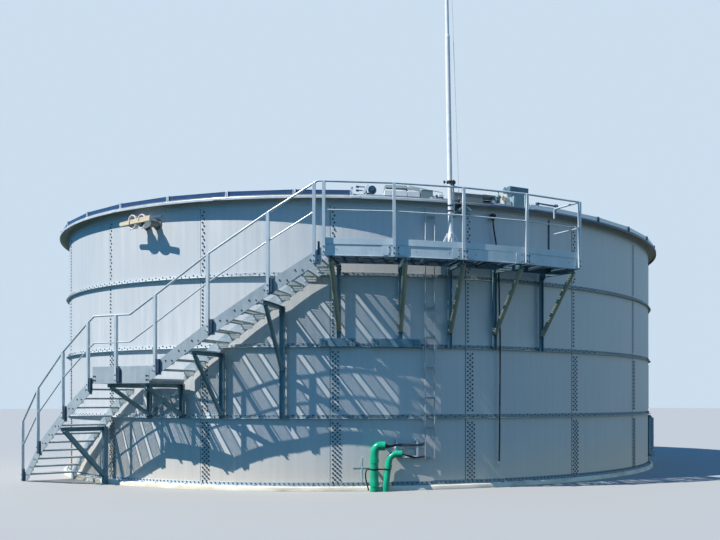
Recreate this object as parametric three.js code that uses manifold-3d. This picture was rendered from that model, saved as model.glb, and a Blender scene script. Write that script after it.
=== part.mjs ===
// A bolted steel plate storage tank with its stair, access platform, mast and service runs.
// Millimetres, +Z up. The origin is on the tank's axis, on the ground. Angles are in degrees
// around the axis, from the front (-Y) towards +X.
import * as THREE from 'three';
import { mergeVertices } from 'three/addons/utils/BufferGeometryUtils.js';
import Module from 'manifold-3d';

const wasm = await Module();
wasm.setup();

// Driving dimensions of the shell
const shellRadius = 7000;
const wallThickness = 8;
const slabHeight = 80;
const slabRadius = 7110;
const courseHeight = 1265;
const courseCount = 4;
const wallCount = 6;
const seamAngle = -46;
const facetAngle = 5;
const shellTop = slabHeight + courseHeight * courseCount;

// Driving dimensions of the rings, the eave and the roof
const ringReach = 60;
const ringSteel = 6;
const ringLeg = 70;
const ringDrop = 65;
const baseReach = 70;
const eaveRadius = 7190;
const eaveTop = shellTop + 60;
const eaveLip = 50;
const eaveLeg = 80;
const roofRadius = 7120;
const roofDepth = 45;
const roofRise = 570;
const roofCapRadius = 600;
const roofSectorCount = 6;
const upstandRadius = 7150;
const upstandHeight = 105;
const gearFirst = -3;
const gearLast = 24.2;

// Driving dimensions of the stair and the platform
const walkOuter = 8000;
const walkInner = 7130;
const riser = 165;
const lowerStart = -58.6;
const lowerFoot = -59.4;
const lowerStep = 1.8727;
const lowerRisers = 12;
const landingEnd = -28.2;
const upperStep = 1.85;
const upperRisers = 13;
const stringerDepth = 240;
const stringerCover = 30;
const plateSteel = 8;
const treadDepth = 35;
const bayAngle = 8.5;
const bayCount = 4;
const deckDepth = 30;
const edgeBottom = 4010;
const edgeTop = 4300;
const railTube = 18;
const midRailTube = 13;
const postWidth = 50;
const railDrop = 475;
const platformRailTop = 5235;

// Driving dimensions of the mast and the service runs
const mastRadius = 42;
const mastLength = 6200;
const mastLean = 1;
const mastAngle = 9.7;
const ladderAngle = 8.2;
const ladderWidth = 180;
const ladderBottom = 550;
const ladderTop = 5060;
const rungPitch = 540;

// The clearance between pieces that touch
const gap = 0.3;

const landingStart = lowerStart + (lowerRisers - 1) * lowerStep;
const landingTop = riser * lowerRisers;
const platformStart = landingEnd + (upperRisers - 1) * upperStep;
const platformEnd = platformStart + bayCount * bayAngle;
const deckTop = landingTop + riser * upperRisers;

function paint(color, roughness, metalness) {
  return new THREE.MeshStandardMaterial({ color, roughness, metalness });
}
const finish = {
  shell: paint(0xaab4bd, 0.55, 0.6),
  galvanised: paint(0x9fb0bb, 0.5, 0.7),
  trim: paint(0x8fa3ae, 0.6, 0.5),
  concrete: paint(0xb9b2a4, 0.95, 0),
  white: paint(0xe6e8ea, 0.5, 0),
  green: paint(0x12a878, 0.35, 0),
  blue: paint(0x2c4a68, 0.45, 0.2),
  black: paint(0x16181b, 0.6, 0),
  grey: paint(0x8d9498, 0.6, 0.1),
};

const tank = new THREE.Group();

// Angles and places
const radians = (degrees) => (degrees * Math.PI) / 180;
const polar = (radius, degrees, z) =>
  new THREE.Vector3(radius * Math.sin(radians(degrees)), -radius * Math.cos(radians(degrees)), z);

// A closed solid from any closed geometry: vertices merged, empty triangles dropped, faces turned outwards
function solidOf(geometry, matrix = new THREE.Matrix4()) {
  const bare = new THREE.BufferGeometry();
  bare.setAttribute('position', geometry.getAttribute('position').clone());
  if (geometry.index) bare.setIndex(geometry.index.clone());
  bare.applyMatrix4(matrix);
  const merged = mergeVertices(bare, 1e-3);
  const corners = merged.getAttribute('position');
  const index = merged.index.array;
  const at = (i) => new THREE.Vector3().fromBufferAttribute(corners, i);
  const triangles = [];
  let volume = 0;
  for (let i = 0; i < index.length; i += 3) {
    const [a, b, c] = [index[i], index[i + 1], index[i + 2]];
    if (a === b || b === c || c === a) continue;
    triangles.push([a, b, c]);
    volume += at(a).dot(at(b).cross(at(c)));
  }
  if (volume < 0) triangles.forEach((triangle) => triangle.reverse());
  const mesh = new wasm.Mesh({
    numProp: 3,
    vertProperties: new Float32Array(corners.array),
    triVerts: new Uint32Array(triangles.flat()),
  });
  return new wasm.Manifold(mesh);
}

// The geometry of a finished solid
function geometryOf(solid) {
  const mesh = solid.getMesh();
  const geometry = new THREE.BufferGeometry();
  const stride = mesh.numProp;
  const points = [];
  for (let i = 0; i < mesh.vertProperties.length; i += stride) {
    points.push(mesh.vertProperties[i], mesh.vertProperties[i + 1], mesh.vertProperties[i + 2]);
  }
  geometry.setAttribute('position', new THREE.Float32BufferAttribute(points, 3));
  geometry.setIndex(Array.from(mesh.triVerts));
  return geometry;
}

const joined = (solids) => solids.reduce((sum, solid) => sum.add(solid));

// A named piece of the tank, turned about the axis
function addPiece(name, solid, material, turn = 0) {
  const mesh = new THREE.Mesh(geometryOf(solid), material);
  mesh.name = name;
  mesh.rotation.z = radians(turn);
  tank.add(mesh);
}

const turned = (degrees) => new THREE.Matrix4().makeRotationZ(radians(degrees));

// A box at the front of the tank, given by its ranges across, outwards from the axis and up, then turned
function block(across, outwards, up, degrees = 0) {
  const size = [across, outwards, up].map(([low, high]) => high - low);
  const middle = [across, outwards, up].map(([low, high]) => (low + high) / 2);
  const box = new THREE.BoxGeometry(size[0], size[1], size[2]);
  box.translate(middle[0], -middle[1], middle[2]);
  return solidOf(box, turned(degrees));
}

// A round bar or tube between two points
function bar(from, to, radius, sides = 8, endRadius = radius) {
  const run = new THREE.Vector3().subVectors(to, from);
  const rod = new THREE.CylinderGeometry(endRadius, radius, run.length(), sides);
  const turn = new THREE.Quaternion().setFromUnitVectors(new THREE.Vector3(0, 1, 0), run.clone().normalize());
  const middle = new THREE.Vector3().addVectors(from, to).multiplyScalar(0.5);
  return solidOf(rod, new THREE.Matrix4().compose(middle, turn, new THREE.Vector3(1, 1, 1)));
}

// A square bar between two points, with one side level
function squareBar(from, to, width) {
  const run = new THREE.Vector3().subVectors(to, from);
  const along = run.clone().normalize();
  const side = new THREE.Vector3(0, 0, 1).cross(along).normalize();
  const up = new THREE.Vector3().crossVectors(along, side);
  const box = new THREE.BoxGeometry(run.length(), width, width);
  const middle = new THREE.Vector3().addVectors(from, to).multiplyScalar(0.5);
  return solidOf(box, new THREE.Matrix4().makeBasis(along, side, up).setPosition(middle));
}

// A tube that follows a smooth curve through points
function hose(points, radius, sides, steps) {
  const section = new THREE.Shape();
  for (let i = 0; i < sides; i += 1) {
    const angle = (i / sides) * 2 * Math.PI;
    const corner = [radius * Math.cos(angle), radius * Math.sin(angle)];
    if (i === 0) section.moveTo(...corner);
    else section.lineTo(...corner);
  }
  const path = new THREE.CatmullRomCurve3(points, false, 'centripetal');
  return solidOf(new THREE.ExtrudeGeometry(section, { steps, extrudePath: path }));
}

// A profile of (radius, height) points turned about the axis
function revolve(profile, segments, startAngle = seamAngle) {
  const points = profile.map(([radius, z]) => new THREE.Vector2(radius, z));
  const lathe = new THREE.LatheGeometry(points, segments, radians(startAngle));
  return solidOf(lathe.rotateX(Math.PI / 2));
}

// A closed profile for a ring, its last point the same as its first
const ring = (profile, segments, startAngle) => revolve([...profile, profile[0]], segments, startAngle);

// A flat upright shape drawn along a straight plan line, (along, height), with a thickness outwards
function upright(from, to, outline, offset, thickness) {
  const along = new THREE.Vector3().subVectors(to, from).setZ(0).normalize();
  const up = new THREE.Vector3(0, 0, 1);
  const outwards = new THREE.Vector3().crossVectors(along, up);
  const shape = new THREE.Shape(outline.map(([s, z]) => new THREE.Vector2(s, z)));
  const plate = new THREE.ExtrudeGeometry(shape, { depth: thickness, bevelEnabled: false });
  const start = from.clone().setZ(0).addScaledVector(outwards, offset);
  return solidOf(plate, new THREE.Matrix4().makeBasis(along, up, outwards).setPosition(start));
}

const oblong = (left, right, low, high) => [[left, low], [right, low], [right, high], [left, high]];

// A level plate of any plan outline
function level(corners, bottom, thickness) {
  const shape = new THREE.Shape(corners.map((corner) => new THREE.Vector2(corner.x, corner.y)));
  const plate = new THREE.ExtrudeGeometry(shape, { depth: thickness, bevelEnabled: false });
  return solidOf(plate.translate(0, 0, bottom));
}

// The distance from the axis at which a flat pad, square to the radius, clears the facets of a ring
function padDistance(ringRadius, degrees, halfWidth) {
  const behind = (((degrees - seamAngle) % facetAngle) + facetAngle) % facetAngle;
  const corners = [-2, -1, 0, 1, 2, 3].map((k) => radians(k * facetAngle - behind));
  const edge = corners.map((c) => [ringRadius * Math.sin(c), ringRadius * Math.cos(c)]);
  let reach = Math.max(...edge.filter(([t]) => Math.abs(t) <= halfWidth).map(([, r]) => r), 0);
  for (let i = 0; i + 1 < edge.length; i += 1) {
    const [[t0, r0], [t1, r1]] = [edge[i], edge[i + 1]];
    for (const t of [-halfWidth, halfWidth]) {
      const share = (t - t0) / (t1 - t0);
      if (share >= 0 && share <= 1) reach = Math.max(reach, r0 + share * (r1 - r0));
    }
  }
  return reach + gap;
}

// The concrete slab that the tank stands on
const ringSides = 360 / facetAngle;
const slabProfile = [[0, 0], [slabRadius, 0], [slabRadius, slabHeight], [0, slabHeight]];
addPiece('base_slab', revolve(slabProfile, ringSides), finish.concrete);

// The wall: six curved segments around the slab, each three plates wide and four courses high
const wallAngle = 360 / wallCount;
function wallCorners(radius) {
  const corners = [];
  const jointAngle = (gap / 2 / radius) * (180 / Math.PI);
  for (let a = -wallAngle / 2; a <= wallAngle / 2; a += facetAngle) {
    const inset = Math.abs(a) === wallAngle / 2 ? Math.sign(a) * jointAngle : 0;
    corners.push(polar(radius, a - inset, 0));
  }
  return corners;
}
const wallPlan = [...wallCorners(shellRadius), ...wallCorners(shellRadius - wallThickness).reverse()];
const wallSegment = level(wallPlan, slabHeight + gap, shellTop - slabHeight - gap);
for (let i = 0; i < wallCount; i += 1) {
  addPiece(`shell_wall_${i + 1}`, wallSegment, finish.shell, seamAngle + (i + 0.5) * wallAngle);
}

// The angle rings: an upright leg on the wall and a level leg outwards
const legInner = shellRadius + 0.5;
const legOuter = legInner + ringSteel;
function angleRing(name, bottom, reach) {
  const top = bottom + ringLeg;
  const lip = bottom + ringSteel;
  const profile = [
    [legInner, bottom], [reach, bottom], [reach, lip], [legOuter, lip], [legOuter, top], [legInner, top],
  ];
  addPiece(name, ring(profile, ringSides), finish.galvanised);
}
angleRing('base_angle', slabHeight + gap, shellRadius + baseReach);
const ringBottom = (course) => slabHeight + course * courseHeight - ringDrop;
angleRing('wind_girder_lower', ringBottom(1), shellRadius + ringReach);
angleRing('wind_girder_middle', ringBottom(2), shellRadius + ringReach);
angleRing('wind_girder_upper', ringBottom(3), shellRadius + ringReach);

// The eave: an upright leg on the wall, a level plate outwards and a lip turned down
const eaveLegBottom = shellTop - eaveLeg;
const eaveProfile = [
  [legInner, eaveLegBottom], [legOuter, eaveLegBottom],
  [legOuter, eaveTop - ringSteel], [eaveRadius - ringSteel, eaveTop - ringSteel],
  [eaveRadius - ringSteel, eaveTop - eaveLip], [eaveRadius, eaveTop - eaveLip],
  [eaveRadius, eaveTop], [legInner, eaveTop],
];
addPiece('top_rim', ring(eaveProfile, ringSides), finish.galvanised);

// The space inside the wall's outer face, from which what stands on the wall is cut
const shellFace = shellRadius + gap;
const shellSpace = revolve([[0, 0], [shellFace, 0], [shellFace, shellTop], [0, shellTop]], ringSides);

// The roof: a low cone of flat panels in sectors, with a cap plate at the middle
const panelAngle = 10;
const panelCount = 360 / panelAngle;
const sectorAngle = 360 / roofSectorCount;
const roofProfile = [
  [roofRadius, eaveTop + gap], [roofRadius, eaveTop + gap + roofDepth],
  [roofCapRadius, eaveTop + gap + roofDepth + roofRise], [roofCapRadius, eaveTop + gap + roofRise],
];
const sectorHalf = sectorAngle / 2;
const panelStart = seamAngle + panelAngle / 2;
const wedgeInset = new THREE.Vector3(0, -gap / 2 / Math.sin(radians(sectorHalf)), 0);
const wedgePlan = [
  wedgeInset,
  polar(2 * roofRadius, -sectorHalf, 0).add(wedgeInset),
  polar(2 * roofRadius, sectorHalf, 0).add(wedgeInset),
];
const roofWedge = level(wedgePlan, eaveTop, 2 * roofRise);
const roofSector = ring(roofProfile, panelCount, -sectorHalf).intersect(roofWedge);
for (let i = 0; i < roofSectorCount; i += 1) {
  addPiece(`roof_sector_${i + 1}`, roofSector, finish.trim, panelStart + (i + 0.5) * sectorAngle);
}

// The space below the roof's upper face, from which what stands on the roof is cut
const roofSpace = revolve([
  [0, eaveTop], [roofRadius + gap, eaveTop], [roofRadius + gap, eaveTop + roofDepth + 2 * gap],
  [roofCapRadius, eaveTop + roofDepth + roofRise + 2 * gap], [0, eaveTop + roofDepth + roofRise + 2 * gap],
], panelCount, panelStart);

// The cap plate over the sectors' upper ends
const capBottom = eaveTop + roofDepth + roofRise + 2 * gap;
const capRadius = roofCapRadius + 50;
const capProfile = [[0, capBottom], [capRadius, capBottom], [capRadius, capBottom + 20], [0, capBottom + 60]];
addPiece('roof_cap', revolve(capProfile, panelCount, panelStart), finish.trim);

// The upstand around the roof: flat strips between small posts, open where the gear stands at the edge
const upstandBottom = eaveTop + gap;
const upstandTop = upstandBottom + upstandHeight;
const stripInner = upstandRadius - ringSteel;
const stripProfile = [
  [stripInner, upstandBottom], [upstandRadius, upstandBottom],
  [upstandRadius, upstandTop], [stripInner, upstandTop],
];
const openCorners = [gearFirst, (gearFirst + gearLast) / 2, gearLast].map(
  (degrees) => polar(upstandRadius + 100, degrees, 0),
);
const openSpace = level([new THREE.Vector3(), ...openCorners], eaveTop, 2 * upstandHeight);
const upstandStrip = ring(stripProfile, panelCount, panelStart).subtract(openSpace);
const postAngles = [gearFirst, gearLast];
for (let i = 0; i < panelCount; i += 1) {
  const degrees = panelStart + i * panelAngle;
  if (degrees < gearFirst || degrees > gearLast) postAngles.push(degrees);
}
const upstandPosts = postAngles.map((degrees) => {
  const across = ((degrees - panelStart) % panelAngle) - panelAngle / 2;
  const strip = (upstandRadius * Math.cos(radians(panelAngle / 2))) / Math.cos(radians(across));
  return block([-20, 20], [strip - 10, strip + 24], [upstandBottom, upstandTop + 8], degrees);
});
addPiece('roof_upstand', joined([upstandStrip, ...upstandPosts]), finish.galvanised);

// The plan line of the walkway: its outer and inner corners lie on two circles
const outerCorner = (degrees, offset = 0) => polar(walkOuter + offset, degrees, 0);
const innerCorner = (degrees, offset = 0) => polar(walkInner + offset, degrees, 0);
const lowerKinks = [lowerFoot, lowerStart + 4 * lowerStep, lowerStart + 8 * lowerStep, landingStart];
const upperKinks = [0, 4, 8, 12].map((step) => landingEnd + step * upperStep);
const platformKinks = [];
for (let i = 0; i <= bayCount; i += 1) platformKinks.push(platformStart + i * bayAngle);
const walkKinks = [...lowerKinks, ...upperKinks, ...platformKinks.slice(1)];

// The bay of the walkway that an angle falls in
function bayAt(degrees) {
  let i = 0;
  while (i + 2 < walkKinks.length && degrees > walkKinks[i + 1]) i += 1;
  return [walkKinks[i], walkKinks[i + 1]];
}

// The distance from the axis of the walkway's straight outer line, at any angle
function walkLine(degrees) {
  const [from, to] = bayAt(degrees);
  return (walkOuter * Math.cos(radians((to - from) / 2))) / Math.cos(radians(degrees - (from + to) / 2));
}

// The height of the line through the nosings, which is straight within each bay
function nosingHeight(degrees) {
  if (degrees <= landingStart) return riser * (1 + (degrees - lowerStart) / lowerStep);
  if (degrees <= landingEnd) return landingTop;
  return Math.min(landingTop + riser * (1 + (degrees - landingEnd) / upperStep), deckTop);
}
function slope(degrees) {
  const [from, to] = bayAt(degrees);
  if (degrees > landingStart && degrees <= landingEnd) return landingTop;
  const half = Math.tan(radians((to - from) / 2));
  const share = (Math.tan(radians(degrees - (from + to) / 2)) + half) / (2 * half);
  const start = from === landingEnd ? landingTop + riser : nosingHeight(from);
  return start + (nosingHeight(to) - start) * share;
}

// A point on the straight line between two corners of the walkway, at an angle between them
function onLine(degrees, from, to, radius, offset) {
  const half = radians((to - from) / 2);
  const middle = (from + to) / 2;
  return polar((radius * Math.cos(half) + offset) / Math.cos(radians(degrees - middle)), degrees, 0);
}
const outerPoint = (degrees, from, to) => onLine(degrees, from, to, walkOuter, -plateSteel / 2);
const innerPoint = (degrees, from, to) => onLine(degrees, from, to, walkInner, plateSteel / 2);

// The space of one bay between two upright planes through the axis, to cut a bay's pieces to their mitres
function bayWedge(from, to) {
  const inset = (gap / walkOuter) * (180 / Math.PI);
  const [low, high] = [from + inset, to - inset];
  const near = walkInner - 300;
  const far = (walkOuter + 300) / Math.cos(radians((to - from) / 2));
  const plan = [polar(near, low, 0), polar(far, low, 0), polar(far, high, 0), polar(near, high, 0)];
  return level(plan, 0, deckTop + 2000);
}

// A plate that follows a bay, its lower and upper edges given as heights at the bay's two ends
function bayPlate(corner, offset, from, to, low, high) {
  const [start, end] = [corner(from), corner(to)];
  const length = start.distanceTo(end);
  const spare = 15;
  const at = ([first, last], s) => first + ((last - first) * s) / length;
  const outline = [[-spare, at(low, -spare)], [length + spare, at(low, length + spare)],
    [length + spare, at(high, length + spare)], [-spare, at(high, -spare)]];
  return upright(start, end, outline, offset, plateSteel);
}

// A flight's segment: two stringers and the treads between them, one straight bay
function flightSegment(name, from, to, firstNosing, step, firstZ, count) {
  const line = (degrees) => firstZ + (riser * (degrees - firstNosing)) / step;
  const high = [line(from) + stringerCover, line(to) + stringerCover];
  const low = high.map((z) => z - stringerDepth);
  const pieces = [
    bayPlate(outerCorner, -plateSteel, from, to, low, high),
    bayPlate(innerCorner, 0, from, to, low, high),
  ];
  for (let i = 0; i < count; i += 1) {
    const front = firstNosing + i * step;
    const back = front + step * 1.03;
    const outline = [outerPoint(front, from, to), outerPoint(back, from, to),
      innerPoint(back, from, to), innerPoint(front, from, to)];
    pieces.push(level(outline, firstZ + i * riser - treadDepth, treadDepth));
  }
  addPiece(name, joined(pieces).intersect(bayWedge(from, to)), finish.galvanised);
}

const segmentSteps = [4, 4, 3];
for (let i = 0; i < 3; i += 1) {
  flightSegment(`stair_flight_lower_${i + 1}`, lowerKinks[i], lowerKinks[i + 1],
    lowerStart + 4 * i * lowerStep, lowerStep, riser * (1 + 4 * i), segmentSteps[i]);
}
for (let i = 0; i < 3; i += 1) {
  flightSegment(`stair_flight_upper_${i + 1}`, upperKinks[i], upperKinks[i + 1],
    landingEnd + 4 * i * upperStep, upperStep, landingTop + riser * (1 + 4 * i), 4);
}

// The landing between the flights: a floor plate with side plates and ribs beneath
const landingBottom = landingTop - 80;
const landingToe = 2200;
function landing() {
  const [from, to] = [landingStart, landingEnd];
  const floor = level([outerPoint(from, from, to), outerPoint(to, from, to),
    innerPoint(to, from, to), innerPoint(from, from, to)], landingTop - deckDepth, deckDepth);
  const flat = (z) => [z, z];
  const pieces = [
    floor,
    bayPlate(outerCorner, -plateSteel, from, to, flat(landingBottom), flat(landingToe)),
    bayPlate(innerCorner, 0, from, to, flat(landingBottom), flat(landingTop)),
  ];
  for (const degrees of [from + 0.3, (from + to) / 2, to - 0.3]) {
    const [a, b] = [innerPoint(degrees, from, to), outerPoint(degrees, from, to)];
    pieces.push(upright(a, b, oblong(0, a.distanceTo(b), landingBottom, landingTop - 5), -5, 10));
  }
  addPiece('stair_landing', joined(pieces).intersect(bayWedge(from, to)), finish.galvanised);
}
landing();

// The platform's deck: straight bays with ribs beneath
function ribbedDeck() {
  const floorInset = (plateSteel + gap) / Math.cos(radians(bayAngle / 2));
  const corners = platformKinks.map((degrees) => outerCorner(degrees, -floorInset));
  const back = platformKinks.map((degrees) => innerCorner(degrees)).reverse();
  const pieces = [level([...corners, ...back], deckTop - deckDepth, deckDepth)];
  const ribTop = deckTop - deckDepth + 5;
  for (let i = 0; i < bayCount; i += 1) {
    const [from, to] = [platformKinks[i], platformKinks[i + 1]];
    for (const radius of [walkOuter - 60, walkInner + 10]) {
      const [a, b] = [polar(radius, from, 0), polar(radius, to, 0)];
      pieces.push(upright(a, b, oblong(-3, a.distanceTo(b) + 3, edgeBottom + gap, ribTop), 0, 10));
    }
  }
  const deck = joined(pieces).intersect(bayWedge(platformStart, platformEnd));
  addPiece('platform_deck', deck, finish.galvanised);
}
ribbedDeck();

// The platform's edge: straight plates around its outer line, returned at the far end
function edgePlates() {
  const pieces = [];
  for (let i = 0; i < bayCount; i += 1) {
    const [a, b] = [outerCorner(platformKinks[i]), outerCorner(platformKinks[i + 1])];
    const outline = oblong(i === 0 ? 1 : 0, a.distanceTo(b), edgeBottom, edgeTop);
    pieces.push(upright(a, b, outline, -plateSteel, plateSteel));
  }
  const end = [polar(walkOuter - 2, platformEnd, 0), polar(walkInner + 20, platformEnd, 0)];
  const returnOutline = oblong(0, end[0].distanceTo(end[1]), edgeBottom, edgeTop);
  pieces.push(upright(end[0], end[1], returnOutline, gap, plateSteel));
  addPiece('platform_edge', joined(pieces), finish.galvanised);
}
edgePlates();

// A wall bracket: an upright channel on the ring lips, an arm and a strut below it. The arm may lean
// aside, turned about the channel's front. A foot is a wide plate on the ring, given by its two ends.
const channelDepth = 50;
const armDepth = 70;
const footHeight = 145;
const stairFrame = { half: 48, strut: 75 };
const platformFrame = { half: 36, strut: 90 };
const outwardPoint = (outwards, z) => new THREE.Vector3(0, -outwards, z);
function bracketSolid({ degrees, course, armTop, strutLow, frame, foot, lean = 0 }) {
  const { half, strut } = frame;
  const low = ringBottom(course) - 5;
  const back = padDistance(shellRadius + ringReach, degrees, half);
  const front = back + channelDepth;
  const armEnd = walkLine(degrees) - 2;
  const strutTop = outwardPoint(armEnd - 60, armTop - armDepth + 5);
  const aside = new THREE.Matrix4().makeTranslation(0, -front, 0)
    .multiply(turned(lean))
    .multiply(new THREE.Matrix4().makeTranslation(0, front, 0));
  const reach = joined([
    block([-25, 25], [front - 5, armEnd], [armTop - armDepth, armTop]),
    squareBar(outwardPoint(front, strutLow), strutTop, strut),
  ]);
  const pieces = [
    block([-half, half], [back, front], [low, armTop]),
    reach.transform(aside.elements),
  ];
  if (foot) {
    const lip = ringBottom(course) + ringSteel + gap;
    const plateBack = padDistance(legOuter, degrees, Math.max(-foot[0], foot[1]));
    pieces.push(block(foot, [plateBack, front + 15], [lip, lip + footHeight]));
  }
  return joined(pieces).transform(turned(degrees).elements);
}
const underStringer = (degrees, halfWidth) => {
  const lowSide = degrees - (halfWidth / walkInner) * (180 / Math.PI);
  return slope(lowSide) + stringerCover - stringerDepth - gap;
};

// The landing's two brackets, tied together by crossed braces
const landingAngles = [-35.2, -28.9];
const lowStrutFoot = 1350;
function landingFrame() {
  const frames = landingAngles.map((degrees) => bracketSolid({
    degrees, course: 1, armTop: landingBottom - gap, strutLow: lowStrutFoot, frame: stairFrame,
  }));
  const [left, right] = landingAngles;
  const channelFace = shellRadius + ringReach + 40;
  const [braceLow, braceHigh] = [ringBottom(1) + 55, landingBottom - 90];
  const braces = [
    squareBar(polar(channelFace, left, braceLow), polar(channelFace, right, braceHigh), 55),
    squareBar(polar(channelFace + 5, right, braceLow), polar(channelFace + 5, left, braceHigh), 55),
  ];
  addPiece('landing_frame', joined([...frames, ...braces]), finish.galvanised);
}
landingFrame();

// The two brackets under the upper flight
const stairBrackets = [
  { name: 'stair_bracket_lower', degrees: -22.1, strutLow: lowStrutFoot },
  { name: 'stair_bracket_upper', degrees: -12.9, strutLow: 2140 },
];
for (const { name, degrees, strutLow } of stairBrackets) {
  const armTop = underStringer(degrees, stairFrame.half);
  addPiece(name, bracketSolid({ degrees, course: 1, armTop, strutLow, frame: stairFrame }), finish.galvanised);
}

// The five brackets under the platform, the first two with a wide foot plate on the ring
const platformBrackets = [
  { degrees: -4.8, foot: [-335, 285], lean: -2 }, { degrees: 3.9, foot: [-520, 360] },
  { degrees: 11.2 }, { degrees: 18.3, lean: 8 }, { degrees: 26.7, lean: 5.5 },
];
const platformArms = { course: 2, armTop: edgeBottom - gap, strutLow: 2840, frame: platformFrame };
platformBrackets.forEach((place, i) => {
  addPiece(`platform_bracket_${i + 1}`, bracketSolid({ ...place, ...platformArms }), finish.galvanised);
});

// The trestle under the lower flight: a column on the ground with a foot plate, a cross beam and a brace
function trestle() {
  const degrees = -45.2;
  const half = 40;
  const back = slabRadius + 6;
  const front = back + 2 * half;
  const top = underStringer(degrees, half);
  const pieces = [
    block([-half, half], [back, front], [0, top]),
    block([-110, 110], [back - 4, back + 184], [0, 12]),
    block([-30, 30], [front - 5, walkLine(degrees) - 2], [top - 80, top]),
    squareBar(outwardPoint(front - 10, 180), outwardPoint(walkOuter - 70, top - 60), stairFrame.strut),
  ];
  addPiece('stair_trestle', joined(pieces).transform(turned(degrees).elements), finish.galvanised);
}
trestle();

// The handrails: posts outside the side plates, a top rail and a middle rail. A stop with no foot is
// a bend of the rails between two posts.
const postFace = (degrees) => walkLine(degrees) + 3;
const walkOutline = walkKinks.map((degrees) => outerCorner(degrees, gap));
const walkSpace = level([new THREE.Vector3(0, 0, 0), ...walkOutline], 0, platformRailTop);
function handrail(name, stops, extra = []) {
  const posts = stops.filter(({ foot }) => foot !== undefined).map(({ degrees, foot, top }) => {
    const face = postFace(degrees);
    return block([-postWidth / 2, postWidth / 2], [face - 10, face + postWidth], [foot, top], degrees);
  });
  const pieces = [joined(posts).subtract(walkSpace)];
  const railPlace = ({ degrees, top }, drop) => polar(postFace(degrees) + postWidth / 2, degrees, top - drop);
  for (let i = 0; i + 1 < stops.length; i += 1) {
    const [a, b] = [stops[i], stops[i + 1]];
    pieces.push(bar(railPlace(a, 0), railPlace(b, 0), railTube));
    pieces.push(bar(railPlace(a, railDrop), railPlace(b, railDrop), midRailTube));
  }
  addPiece(name, joined([...pieces, ...extra]), finish.galvanised);
}
const stop = (degrees, footDrop, height) => {
  const line = slope(degrees);
  return { degrees, foot: line - footDrop, top: line + height };
};
const bend = (degrees) => ({ degrees, top: landingTop + 1110 });
const railJoint = -37;
const jointGap = 0.0025;
const firstStop = { degrees: -59.2, foot: 0, top: 1170 };
handrail('stair_rail_lower', [
  firstStop, stop(-51.9, 170, 1070), stop(-44.3, 170, 1060), stop(-38.6, 170, 1060),
  bend(-37.4), bend(railJoint),
]);
handrail('stair_rail_upper', [
  bend(railJoint + jointGap), stop(-33.6, 60, 1110), bend(-31.2), stop(-27.2, 170, 1160),
  stop(-19.9, 170, 1165), stop(-12.4, 170, 1160), stop(-6.9, 170, 1155),
]);
const postInset = [0.25, 0, 0, 0, -0.2];
const platformStops = platformKinks.map((degrees, i) => ({
  degrees: degrees + postInset[i], foot: edgeBottom + 15, top: platformRailTop,
}));
const endPost = platformStops[bayCount];
const endOut = postFace(endPost.degrees) + postWidth / 2;
const hookEnd = 7300;
const endPlace = (radius, drop) => polar(radius, endPost.degrees, endPost.top - drop);
const returnRail = [
  bar(endPlace(endOut, 0), endPlace(hookEnd, 0), railTube),
  bar(endPlace(hookEnd, -10), endPlace(hookEnd, 180), railTube),
  bar(endPlace(endOut, railDrop), endPlace(hookEnd, railDrop), midRailTube),
];
handrail('platform_rail', platformStops, returnRail);

// The mast on the platform, its splayed foot, its clamp to the top rail and its halyard
const mastRadial = walkOuter - 130;
const mastBase = polar(mastRadial, mastAngle, deckTop + gap);
const leanSide = Math.tan(radians(mastLean));
const mastPoint = (height, aside = 0) =>
  new THREE.Vector3(mastBase.x - height * leanSide + aside, mastBase.y, mastBase.z + height);
const legReach = 205;
const shortReach = 80;
function mastFoot() {
  const padUp = [mastBase.z, mastBase.z + 10];
  const padHalf = 32;
  const pieces = [
    bar(mastBase, mastBase.clone().setZ(mastBase.z + 16), 75, 12),
    block([-legReach - 30, legReach + 30], [mastRadial - padHalf, mastRadial + padHalf], padUp, mastAngle),
    block([-padHalf, padHalf], [mastRadial - legReach - 30, mastRadial + shortReach + 20], padUp, mastAngle),
  ];
  for (const [across, outwards, reach] of [
    [-1, 0, legReach], [1, 0, legReach], [0, -1, legReach], [0, 1, shortReach],
  ]) {
    const out = new THREE.Vector3(across, -outwards, 0).applyMatrix4(turned(mastAngle));
    const low = mastPoint(14).addScaledVector(out, reach);
    const high = mastPoint(330).addScaledVector(out, mastRadius + 12);
    pieces.push(squareBar(low, high, 28));
  }
  const sleeve = bar(mastPoint(10), mastPoint(340), mastRadius + 18, 12);
  const bore = bar(mastPoint(16), mastPoint(400), mastRadius + gap, 12);
  addPiece('mast_foot', joined([...pieces, sleeve]).subtract(bore), finish.white);
}
mastFoot();

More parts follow.
